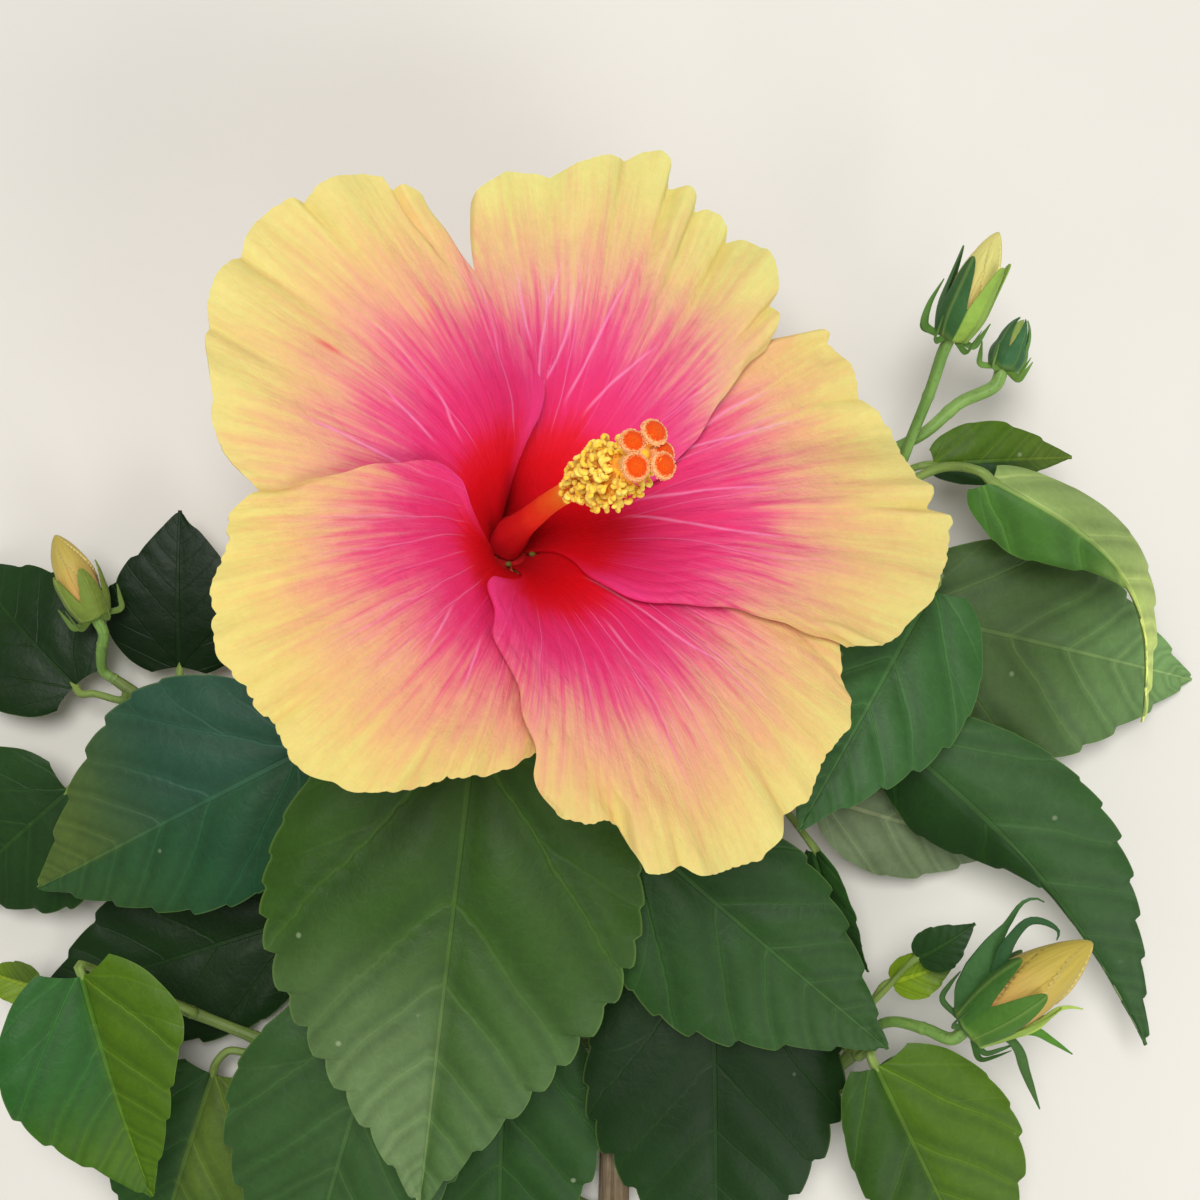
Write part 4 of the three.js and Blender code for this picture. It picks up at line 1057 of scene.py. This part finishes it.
def rounded(rim, apart, size):
    # Rounds off the rim's points but keeps its bites sharp.
    near = int(size / apart)
    cap = np.sqrt(size**2 - (np.arange(-near, near + 1) * apart) ** 2) - size
    windows = np.lib.stride_tricks.sliding_window_view
    worn = (windows(np.pad(rim, near, mode="edge"), 2 * near + 1) - cap).min(axis=1)
    return (windows(np.pad(worn, near, mode="edge"), 2 * near + 1) + cap).max(axis=1)


def petalReach(petal, u, v, phases):
    # How far out the petal reaches, and where its rim stands out or bites in.
    sides = np.where(v < 0, petal["edge"][-1][1], petal["trail"])
    reach = np.interp(petal["centre"] + v * sides, *np.array(petal["rim"]).T)
    even = np.convolve(np.pad(reach[0], 13, mode="edge"), np.hanning(29)[1:-1] / 14, "valid")
    bites = np.abs(np.sin(7.3 * v + phases[0] + 0.8 * np.sin(3 * v + phases[1]))) ** 0.55 - 0.72
    frill = np.abs(np.sin(19 * v + phases[2] + 2.2 * np.sin(5 * v + phases[3]))) ** 0.5 - 0.7
    saw = np.abs(np.sin(51 * v + phases[3] + 2.6 * np.sin(11 * v + phases[0]))) - 0.64
    cut = reach + petal["calm"] * (bloom["scallop"] * bites + bloom["frill"] * frill + bloom["saw"] * saw)
    rim = rounded(cut[0], 0.55, petal["round"])
    return reach + (rim - reach) * smooth((u - 0.5) / 0.5), np.clip(reach - even, -1.1, 1.1)


def petalRise(petal, u, v, radius, angle, lobed, phases, seed):
    # How far each spot stands off the funnel: its waves, lobes, folds and pleats.
    rise = -bloom["lift"] * (0.25 + 0.75 * smooth(u / 0.4)) * v
    rise += bloom["ruffle"] * np.sin(9 * angle + 0.6) * smooth((u - 0.45) / 0.55)
    rise += bloom["crimp"] * np.sin(21 * angle + phases[1]) * smooth((u - 0.68) / 0.32)
    rise += bloom["ripple"] * np.sin(49 * angle + phases[2]) * smooth((u - 0.86) / 0.14)
    rise += bloom["pucker"] * lobed * smooth((u - 0.64) / 0.36) ** 1.4
    rise += bloom["roll"] * smooth((-v - 0.55) / 0.45) * hump(radius - bloom["rollAt"], 5.5)
    for where, wide, high in petal["folds"]:
        rise += high * hump(v - where, wide) * smooth((u - 0.2) / 0.5)
    pleats = np.abs(np.sin(np.pi * 8 * v + 0.6 * wobble(seed, radius / 12, v * 2)))
    rise += bloom["pleat"] * pleats * smooth((u - 0.12) / 0.2) * (1 - 0.5 * smooth((u - 0.7) / 0.3))
    return rise + bloom["crinkle"] * wobble(seed + 4, radius / 3.2, v * 11) * smooth((u - 0.2) / 0.3)


def strongVeins(petal, radius, behind):
    # How far each spot lies beside the nearest strong vein, and how strong that is there.
    nearest, force = np.full_like(radius, 9.0), np.zeros_like(radius)
    for vein in petal["veins"]:
        far, turned = curveThrough(vein, 60)
        beside = np.radians(behind - np.interp(radius, far, turned)) * radius
        shown = smooth((radius - far[0] + 2) / 5) * smooth((far[-1] + 3 - radius) / 9) * hump(beside, 1.6)
        nearer = np.abs(beside) < np.abs(nearest)
        nearest, force = np.where(nearer, beside, nearest), np.where(nearer, shown, force)
    return nearest, force


def petalTint(petal, u, v, radius, angle, lobed):
    # the petal's own tint and slant, with painted shade in the rim's creases
    crease = smooth(-lobed / 1.1) * smooth((u - 0.68) / 0.3)
    tint = np.array(petal["tint"] + (1.0,)) * (1 - crease[:, :, None] * np.array(bloom["creaseShade"]))
    tint = tint * (1 + petal["slant"] * v * smooth((u - 0.3) / 0.4))[:, :, None]
    # painted shadows deep in the throat, then the petal's own scars
    for out, turn, long, wide, loss in bloom["throatShadows"] + petal["scars"]:
        across = np.radians((np.degrees(angle) - turn + 180) % 360 - 180) * radius
        dark = hump(radius - out, long) * hump(across, wide)
        tint = tint * (1 - dark[:, :, None] * np.array(loss + (0,)))
    return tint


def petalShape(petal, seed):
    petal = {**usualPetal, **petal}
    u, v = sheetGrid(bloom["rows"], bloom["cols"])
    u = u**1.15
    phases = np.random.default_rng(seed).uniform(0, 6, 4)
    reach, lobed = petalReach(petal, u, v, phases)
    radius = bloom["clawRadius"] + (reach - bloom["clawRadius"]) * u
    lead = np.interp(radius, *curveThrough(petal["edge"], 300))
    trail = (0.7 + 0.3 * smooth(u / 0.1)) * (petal["trail"] + 20 * (1 - u))
    margin = smooth((-v - 0.7) / 0.3) * smooth((u - 0.2) / 0.2) * petal["marginWave"]
    sway = margin * np.sin(radius * 0.62 + seed) * (30 / np.maximum(radius, 12))
    behind = v * np.where(v < 0, lead, trail) + sway
    angle = np.radians(petal["centre"] + behind)
    rise = petalRise(petal, u, v, radius, angle, lobed, phases, seed)
    outwards, height = besideFunnel(radius, rise)
    mid = spotOn(bloomFrame, outwards, angle, height)

    bandAt = radius * (bloom["evenReach"] / reach) ** 0.6  # short petals change colour sooner
    bandAt = bandAt - petal["redder"] * hump(bandAt - 16, 9)
    place = np.stack([bandAt, behind / 36, np.full_like(u, seed * 3.1)], axis=2)
    # where the overlapping side curls up, for a painted highlight along the fold
    shoulderHighlight = smooth((-v - 0.72) / 0.26) * hump(radius - bloom["rollAt"], 6.5)
    veins = np.stack([*strongVeins(petal, radius, behind), shoulderHighlight], axis=2)
    thin = bloom["thickness"] * (1 + 1.1 * (1 - u) ** 2)[:, :, None]
    return sheetShape(mid, thin, place=place, veins=veins,
                      tone=petalTint(petal, u, v, radius, angle, lobed))


for seed, (name, petal) in enumerate(petals.items()):
    makePiece(name, [petalShape(petal, seed + 21)], [finishes["petal"]], 70)
print("petals made:", len(petals))


column = {
    "top": 38,  # mm
    "girth": [(0, 4.5), (1.5, 4.1), (3.5, 3.6), (6, 3.1), (10, 2.65), (14, 2.4), (22, 2.1), (38, 1.8)],
    # how far the column bends aside at each height, mm
    "bow": [(0, 2.3), (6, 2.4), (14, 2.6), (22, 2.9), (31, 2.7), (46, 1.4), (60, 0.5), (68, 0)],
    "ribs": 0.045, "uneven": 0.02,
}

antherHead = {
    "count": 310, "from": 37.6, "to": 57.2, "spread": 5.0,  # mm
    "closing": 0.55,  # how much closer together the topmost anthers stand
    "core": [(35.6, 1.1), (38, 1.7), (43, 2.3), (53, 2.5), (57.2, 1.7)],  # height and radius, mm
    "curl": (0.4, 0.72), "fat": (0.32, 0.42), "lumps": 0.1,
}

stigmas = {
    # how far out, degrees round, height, size
    "pads": [(2.95, 137, 66.4, 0.93), (4.2, 69, 67.2, 1.0), (4.0, 15, 65.6, 0.9), (3.5, -30, 67.4, 0.98),
             (3.1, 233, 67.0, 1.0)],
    "padRadius": 2.36, "hairs": 150,
}

bowHeights, bowReaches = curveThrough(column["bow"], 200)


def columnSpot(height, radius=0.0, angle=0.0):
    off = np.interp(np.asarray(height, float), bowHeights, bowReaches)[..., None]
    return spotOn(bloomFrame, radius, angle, height) + bloomFrame["y"] * off - bloomFrame["x"] * 0.2 * off


def columnShape():
    heights = np.linspace(0.2, column["top"], 70)
    share = heights / column["top"]
    radii = np.interp(heights, *curveThrough(column["girth"], 200))
    radii = radii * (1 - 0.25 * smooth((share - 0.9) / 0.1))
    angle, rise = anglesRound(24), share[:, None]
    ribs = column["ribs"] * np.cos(5 * angle + rise * 0.8)
    swell = 1 + ribs + column["uneven"] * wobble(2, angle * 2, rise * 9)
    return ringShape(ringsAlong(columnSpot(heights), radii, 24, swell=swell))


def antherShape(head, outward, draw):
    # A small curled crescent.
    tipWay = unit(outward * 0.7 + draw.normal(0, 0.5, 3))
    flatWay = unit(np.cross(tipWay, draw.normal(0, 1, 3)))
    curl = draw.uniform(*antherHead["curl"])
    turn = np.linspace(-1.75, 1.75, 11)[:, None]
    crescent = head + tipWay * (0.3 + curl * np.cos(turn)) + flatWay * curl * np.sin(turn)
    fat = draw.uniform(*antherHead["fat"]) * np.sqrt(np.maximum(1 - (turn[:, 0] / 1.95) ** 2, 0.05)) + 0.1
    lumps = 1 + antherHead["lumps"] * draw.uniform(-1, 1, (11, 8))
    return ringShape(ringsAlong(crescent, fat, 8, swell=lumps))


def antherShapes():
    draw = np.random.default_rng(8)
    coreHeights, coreRadii = np.array(antherHead["core"]).T
    heights = np.linspace(coreHeights[0], coreHeights[-1], 42)
    core = ringsAlong(columnSpot(heights), np.interp(heights, coreHeights, coreRadii), 16,
                      swell=1 + 0.05 * np.cos(5 * anglesRound(16)))
    shapes = [ringShape(core, 1)]
    for k in range(antherHead["count"]):
        share = (k + 0.5) / antherHead["count"]
        height = between((antherHead["from"], antherHead["to"]), share)
        angle = k * 2.39996 + draw.uniform(-0.2, 0.2)
        full = 0.52 + 0.5 * math.sin(math.pi * min(1, share * 0.72 + 0.04))
        far = antherHead["spread"] * full * draw.uniform(0.62, 1.14)
        far = far * (1 - antherHead["closing"] * smooth((share - 0.84) / 0.14) * ((k * 0.618) % 1))
        rise = draw.uniform(0.6, 2.2)
        head = columnSpot(height + rise, far, angle)
        bend = columnSpot(height + rise * 0.2, far * 0.6, angle)
        stalk = throughPoints([columnSpot(height, 1.2, angle), bend, head], 7)
        shapes.append(ringShape(ringsAlong(stalk, np.linspace(0.3, 0.18, 7), 6), 1))
        shapes.append(antherShape(head, unit(head - columnSpot(height + rise)), draw))
    return shapes


def padShapes(pad, wide, seed, draw):
    # A cushion of papillae: down the back, round the rim and over the crown.
    facing = unit(axis + (pad - columnSpot(67)) * 0.05)
    sideways = unit(np.cross(facing, np.array([0.3, 1, 0.2])))
    axes = {"origin": pad - facing * 0.5, "x": sideways, "y": np.cross(facing, sideways), "z": facing}
    angle = anglesRound(40)
    sweep = np.linspace(0.03, 1, 26)[:, None] * np.pi
    bumps = 1 + 0.05 * wobble(seed, np.cos(angle) * 6, sweep * 6 + np.sin(angle) * 6, 2.0)
    radius = stigmas["padRadius"] * wide * np.sin(sweep) ** 0.7 * bumps
    rings = spotOn(axes, radius, angle, -0.95 * np.cos(sweep) * bumps + 0.2)
    away = np.where(sweep > np.pi / 2, radius / ((stigmas["padRadius"] + 0.05) * wide), 1.0)
    shapes = [ringShape(rings, place=ringPlace(away, 0, 0, (1, 0, 0), (0, 0, 0)))]
    for _ in range(stigmas["hairs"]):
        turn, at = draw.uniform(0, 2 * np.pi), draw.uniform(-0.4, 1.0)
        size = (stigmas["padRadius"] + 0.02) * wide * math.cos(at * 0.35)
        foot = spotOn(axes, size, turn, 0.72 * math.sin(at * 0.9))
        out = unit(foot - axes["origin"]) + draw.normal(0, 0.12, 3)
        hair = np.stack([foot - out * 0.05, foot + out * draw.uniform(0.08, 0.16), foot + out * 0.2])
        shapes.append(ringShape(ringsAlong(hair, [0.09, 0.1, 0.04], 6), place=(1.0, 0.0, 0.0)))
    return shapes


def stigmaShapes():
    # Five arms from the column's tip, each with its pad.
    draw = np.random.default_rng(5)
    tip, knob = np.linspace(56.8, 62.2, 14), np.linspace(61.5, 67.0, 14)
    knobRadii = 2.5 * np.sin(np.linspace(0.7, 3.0, 14)) + 0.1
    shapes = [ringShape(ringsAlong(columnSpot(tip), np.linspace(1.3, 1.5, 14), 14), 1),
              ringShape(ringsAlong(columnSpot(knob), knobRadii, 18), 1)]
    for k, (far, turn, high, wide) in enumerate(stigmas["pads"]):
        angle = math.radians(turn)
        pad = columnSpot(high, far, angle)
        arm = throughPoints([columnSpot(60.8, 0.5, angle), columnSpot(64, far * 0.5, angle),
                             columnSpot(high - 0.8, far * 0.86, angle), pad], 14)
        shapes.append(ringShape(ringsAlong(arm, np.linspace(1.1, 1.5, 14), 10), 1))
        shapes += padShapes(pad, wide, k + 1, draw)
    return shapes


makePiece("column", [columnShape()], [finishes["column"]])
makePiece("anthers", antherShapes(), [finishes["anther"], finishes["filament"]])
makePiece("stigmas", stigmaShapes(), [finishes["stigma"], finishes["filament"]])
print("column, anthers and stigmas made")


# Cups of sepals, with narrow bracts outside them

calyx = {
    "thickness": 0.8, "clearance": 1.4,  # between the calyx and the petals above it, mm
    "light": (118, 150, 66), "deep": (96, 136, 60), "inside": (176, 4, 12),
    # the tips that show between the petals' feet: how far out, degrees round, height, size
    "tips": [(4.6, -12, 1.7, 0.6), (3.3, 266, 0.8, 0.5)], "tip": (104, 100, 38),
    "bracts": 6, "bractLine": [(4.2, -1.3), (9, -1.8), (13, 2), (16, 9)],  # out and up, mm
    "bractWidths": (1.0, 1.3, 1.0, 0.25), "bract": (104, 142, 62),
}


def lobes(angle):
    return np.abs(np.cos(5 * angle / 2)) ** 1.3


def cupShape(axes, wall, thickness, rows, cols, tone, turn=0.0):
    # A cup with an inside and an outside; wall gives the radius and height at a share and an angle.
    share, angle = np.broadcast_arrays(np.linspace(0.02, 1, rows)[:, None], anglesRound(cols))
    radius, height = wall(share, angle)
    r0, h0 = wall(np.maximum(share - 0.02, 0), angle)
    r1, h1 = wall(np.minimum(share + 0.02, 1), angle)
    norm = np.maximum(np.hypot(r1 - r0, h1 - h0), 1e-6)
    half = thickness * (1 - 0.5 * share) / 2
    outR, outH = (h1 - h0) / norm * half, -(r1 - r0) / norm * half
    outer = spotOn(axes, radius + outR, angle + turn, height + outH)
    inner = spotOn(axes, radius - outR, angle + turn, height - outH)
    around = np.tile(angle * 5 / (2 * np.pi), (2, 1))
    along = np.concatenate([share, share[::-1]])
    tones = tone(along, around).reshape(-1, 4)
    return ringShape(np.concatenate([outer, inner[::-1]]), tone=np.concatenate([tones, tones[:2]]),
                     place=ringPlace(along, around, 0, (0, 0, 0), (0, 0, 0)))


def plainGreen(rings, tone):
    # A skin in one colour, without a sepal's ribs.
    shape = ringShape(rings)
    shape["marks"]["tone"] = paint(*tone)
    shape["marks"]["place"][:, 1] = 0.5
    return shape


def bractShape(axes, turn, points, widths, tone, flat, sides):
    path = throughPoints([spotOn(axes, out, turn, up) for out, up in points], 22)
    radii = np.interp(np.linspace(0, 1, 22), np.linspace(0, 1, len(widths)), widths)
    return plainGreen(ringsAlong(path, radii, sides, flat=flat), tone)


def bloomCalyx():
    light, deep, inside = (np.array(paint(*calyx[name])) for name in ("light", "deep", "inside"))

    def wall(share, angle):
        wallRadius = 4.1 + (3.9 + 9 * lobes(angle)) * (share - 0.25) / 0.75
        radius = np.where(share < 0.25, share / 0.25 * 6.4, wallRadius)
        outwards, height = besideFunnel(radius, -bloom["lift"] - calyx["clearance"])
        return np.where(share < 0.25, radius, outwards), np.where(share < 0.25, -1.4, height)

    def tone(along, around):
        floor = smooth((0.3 - along) / 0.06)[..., None]
        share = smooth(along)[..., None]
        return (light * (1 - share) + deep * share) * (1 - floor) + inside * floor

    shapes = [cupShape(bloomFrame, wall, calyx["thickness"], 40, 100, tone)]
    for out, turn, high, size in calyx["tips"]:
        spot = spotOn(bloomFrame, out, math.radians(turn), high)
        run = np.linspace(-1, 1, 9)
        ends = spot + bloomFrame["x"] * size * 1.3 * run[:, None]
        shapes.append(plainGreen(ringsAlong(ends, size * np.sqrt(1.02 - run**2), 10), calyx["tip"]))
    for k in range(calyx["bracts"]):
        shapes.append(bractShape(bloomFrame, 2 * math.pi * k / calyx["bracts"], calyx["bractLine"],
                                 calyx["bractWidths"], calyx["bract"], 0.45, 8))
    return shapes


def axesAlong(base, tip):
    base, tip = np.array(base, float), np.array(tip, float)
    z = unit(tip - base)
    x = unit(upwards - z * upwards.dot(z))
    return {"origin": base, "x": x, "y": np.cross(z, x), "z": z, "length": np.linalg.norm(tip - base)}


def stalkShape(points, radii):
    # Wider at its foot, with a faint joint further up.
    path = throughPoints(points, 70)
    run = np.linspace(0, 1, len(path))
    wide = between(radii, run) * (1 + 0.3 * hump(run, 0.03) + 0.12 * hump(run - 0.62, 0.02))
    return ringShape(ringsAlong(path, wide, 14, swell=1 + 0.03 * np.cos(5 * anglesRound(14))))


makePiece("calyx", bloomCalyx(), [finishes["sepal"]])
flowerFoot = stalkPoints("main_stem", 0.7, [(-8, -16, 16), (-20, -3, 28)])
flowerTop = [spotOn(bloomFrame, 0, 0, -6), spotOn(bloomFrame, 0, 0, -1.6)]
flowerStalk = stalkShape(flowerFoot + flowerTop, (1.7, 2.4))
makePiece("flower_stalk", [flowerStalk], [finishes["budStalk"]])
print("calyx and flower stalk made")


# The buds

# Base and tip are the ends of each bud. Sepals is how much of it they cover, bracts how far theirs
# spread and reach, in mm. Lobes are the sepals' colours, from the one that faces up and on towards
# y; turn moves them round. Strays are bracts or sepals of their own: turn in degrees, places as
# (out, along) in mm, widths, and a colour where it isn't that of the bracts.
buds = {
    "bud_top": dict(
        on="main_stem", at=1, via=[(64, 34, 31), (67, 43, 36)], base=(69.6, 51.6, 40),
        tip=(77.8, 71.8, 50), petalRadius=4.2, sepalRadius=5.0, sepals=0.78, turn=38, stalk=(1.0, 1.25),
        bracts=(2.0, 6.0), petal=(214, 206, 118), bract=(84, 122, 52),
        lobes=[(140, 174, 72), (132, 166, 70), (96, 134, 60), (60, 100, 50), (52, 94, 48)],
        strays=[(-70, [(3, 1), (6.2, 2), (7.2, 6), (6.6, 12)], (0.7, 1.0, 0.6, 0.15))]),
    "bud_side": dict(
        on="main_stem", at=0.985, via=[(67, 34.5, 27.5), (74, 40.5, 28.5)], base=(82, 46.3, 30),
        tip=(86.5, 57.3, 31), petalRadius=2.4, sepalRadius=3.8, sepals=1.02, turn=20, stalk=(1.1, 1.4),
        bracts=(2.2, 5.0), petal=(150, 176, 84), bract=(104, 142, 60), strays=[],
        lobes=[(58, 104, 62), (96, 140, 66), (84, 124, 56), (60, 100, 50), (52, 92, 50)]),
    "bud_low": dict(
        on="twig_low_right", at=1, via=[(61, -87.5, 25), (67, -88, 30.5)], base=(73.5, -87.7, 34),
        tip=(98.6, -68.4, 40), petalRadius=6.6, sepalRadius=6.8, sepals=0.6, turn=12, stalk=(1.0, 1.4),
        bracts=(3.2, 7.0), petal=(190, 168, 68), bract=(62, 98, 44),
        lobes=[(70, 112, 36), (142, 172, 66), (84, 122, 44), (52, 92, 34), (62, 106, 40)],
        strays=[(96, [(3, 2.5), (5.2, 6.6), (8.2, 11.6), (12.4, 13.4), (17, 14.9)],
                 (0.8, 1.0, 1.1, 0.7, 0.15), (78, 128, 40)),
                (100, [(3, 2.5), (6.5, 6.4), (10, 6.7), (14.8, 5), (23.6, 2.3)],
                 (0.8, 0.9, 1.2, 0.8, 0.15), (66, 100, 46)),
                (90, [(3.4, 2.5), (4.8, 6), (7.4, 12.7), (7.2, 18.4), (8.2, 20.6), (10, 22.4)],
                 (1.2, 1.6, 1.3, 0.8, 0.5, 0.15), (164, 190, 84)),
                (-84, [(3, 2), (7, 8), (11.4, 16), (13.2, 21), (15, 26), (14.2, 28.6),
                       (12.5, 29.5)], (1.6, 3.4, 3.2, 2.0, 0.8, 0.45, 0.15), (58, 98, 48)),
                (-74, [(7, 13), (11, 20), (12, 25), (9.5, 27.5), (6.2, 28.2), (5, 26.8)],
                 (1.0, 1.6, 1.1, 0.9, 0.6, 0.15), (44, 82, 42))]),
    "bud_left": dict(
        on="twig_left", at=1, via=[(-105, -11, 19)], base=(-104.9, -4.6, 22), tip=(-112.8, 13.5, 26),
        petalRadius=4.2, sepalRadius=4.8, sepals=0.6, turn=30, stalk=(1.0, 1.25), bracts=(2.2, 5.5),
        petal=(186, 166, 76), bract=(92, 116, 50), lobes=[(112, 132, 52)] * 5, strays=[]),
}

budBuild = {
    "start": 2.2, "furl": 0.17, "uneven": 0.02,  # where the petals start, mm, and how they overlap
    "skin": 0.5, "gap": 0.75, "keel": 0.25,  # the sepals, mm
    "pale": (160, 186, 88),  # at the sepals' feet
}


def petalRadius(bud, length, height):
    start = budBuild["start"]
    share = np.clip((height - start) / (length - start), 0, 0.9999)
    return bud["petalRadius"] * np.sin(np.pi * (0.16 + 0.84 * share**1.05)) ** 0.68


def furledPetals(bud, axes, seed):
    # Five petals rolled round each other.
    along, angle = np.linspace(0, 0.995, 70)[:, None], anglesRound(80)
    height = budBuild["start"] + (axes["length"] - budBuild["start"]) * along
    within = ((angle + 1.9 * along) * 5 / (2 * np.pi)) % 1
    furl = 1 - budBuild["furl"] * (1 - smooth(within / 0.1)) * smooth(along * 5) - 0.1 * within
    crease = 1 + budBuild["uneven"] * wobble(seed, angle * 7, along * 5)
    radius = np.maximum(petalRadius(bud, axes["length"], height) * furl * crease, 0.12)
    return ringShape(spotOn(axes, radius, angle, height), tone=paint(*bud["petal"]),
                     place=ringPlace(along, within, angle, (0, 1, 0), (1, 1, 0)))


def budCup(bud, axes):
    length = axes["length"]
    lobeTones = np.array([paint(*tone) for tone in bud["lobes"]])
    pale = np.array(paint(*budBuild["pale"]))

    def wall(share, angle):
        t = np.clip((share - 0.2) / 0.8, 0, 1)
        height = 1.2 + (length * bud["sepals"] * (0.45 + 0.55 * lobes(angle)) - 1.2) * t
        belly = bud["sepalRadius"] * (0.55 + 0.45 * np.sin(np.pi * np.minimum(0.5, height / (length * 0.7))))
        close = 1 - 0.82 * smooth((height / length - 0.35) / 0.65) if bud["sepals"] > 1 else 1.0
        radius = np.maximum(belly * close, petalRadius(bud, length, height) + budBuild["gap"])
        radius = radius + budBuild["keel"] * np.cos(5 * angle) * t
        flat = share <= 0.2
        return np.where(flat, share / 0.2 * bud["sepalRadius"] * 0.55, radius), np.where(flat, 1.2, height)

    def tone(along, around):
        base = smooth((0.35 - along) / 0.3)[..., None] * 0.6
        return lobeTones[np.round(around).astype(int) % 5] * (1 - base) + pale * base

    return cupShape(axes, wall, budBuild["skin"], 34, 90, tone, math.radians(bud["turn"]))


def sepalShapes(bud, axes):
    shapes = [budCup(bud, axes)]
    wide, (spread, end) = bud["sepalRadius"], bud["bracts"]
    line = [(wide * 0.45, 1.1), (wide + 0.8, 0.6), (wide + spread * 0.7, end * 0.5), (wide + spread, end)]
    loose = [(72 * k + 40, line, (0.6, 0.7, 0.5, 0.12)) for k in range(5)]
    for degrees, places, widths, *own in loose + bud["strays"]:
        tone = own[0] if own else bud["bract"]
        shapes.append(bractShape(axes, math.radians(degrees), places, widths, tone, 0.4, 10))
    return shapes


for seed, (name, bud) in enumerate(buds.items()):
    axes = axesAlong(bud["base"], bud["tip"])
    foot = stalkPoints(bud["on"], bud["at"], bud["via"])
    stalk = stalkShape(foot + [spotOn(axes, 0, 0, -2.5), spotOn(axes, 0, 0, 1.0)], bud["stalk"])
    makePiece(name + "_petals", [furledPetals(bud, axes, seed)], [finishes["budPetal"]])
    makePiece(name + "_sepals", sepalShapes(bud, axes), [finishes["sepal"]])
    makePiece(name + "_stalk", [stalk], [finishes["budStalk"]])
print("buds made:", len(buds))


# Floor, lights and camera

studio = {
    "floor": (226, 222, 214), "floorSize": 9.0,
    "sky": (0.98, 0.98, 0.96, 1.0), "skyStrength": 0.34,
    # name, place, size and power of each lamp, and what they all point at
    "lamps": [("key panel", (-0.05, 0.35, 1.3), 0.55, 11.5), ("side panel", (0.7, -0.75, 0.9), 0.9, 6.5)],
    "lampTarget": (0, 0.02, 0.04),
    "cameraPlace": (0.005, 0.060, 0.440), "lens": 60.0, "sensor": 36.0,
}


def floorFinish():
    skin = Finish("pale floor", Roughness=0.9, Specular_IOR_Level=0.2)
    lighter = tuple(c + 5 for c in studio["floor"])
    patch = grain(skin.spot(), 9.0)
    return skin.done(ramp(patch, [(0.3, studio["floor"]), (0.7, lighter)]))


half = studio["floorSize"] / 2
floorMesh = bpy.data.meshes.new("studio floor")
corners = [(-half, -half), (half, -half), (half, half), (-half, half)]
floorMesh.from_pydata([(x, y, -0.0002) for x, y in corners], [], [(0, 1, 2, 3)])
floorMesh.materials.append(floorFinish())
floor = bpy.data.objects.new("studio_floor", floorMesh)
bpy.context.scene.collection.objects.link(floor)

for name, place, size, power in studio["lamps"]:
    lamp = bpy.data.lights.new(name, "AREA")
    lamp.shape, lamp.size, lamp.energy = "DISK", size, power
    lampObject = bpy.data.objects.new(name, lamp)
    lampObject.location = place
    lampObject.rotation_mode = "QUATERNION"
    lampObject.rotation_quaternion = (Vector(studio["lampTarget"]) - Vector(place)).to_track_quat("-Z", "Y")
    bpy.context.scene.collection.objects.link(lampObject)

world = bpy.data.worlds.new("soft daylight")
world.use_nodes = True
sky = world.node_tree.nodes["Background"]
sky.inputs["Color"].default_value = studio["sky"]
sky.inputs["Strength"].default_value = studio["skyStrength"]
bpy.context.scene.world = world

camera = bpy.data.cameras.new("camera")
camera.lens, camera.sensor_width = studio["lens"], studio["sensor"]
camera.clip_start, camera.clip_end = 0.01, 20.0
cameraObject = bpy.data.objects.new("camera", camera)
cameraObject.location = studio["cameraPlace"]
bpy.context.scene.collection.objects.link(cameraObject)
bpy.context.scene.camera = cameraObject
bpy.context.scene.view_settings.view_transform = "Standard"
print("studio set")
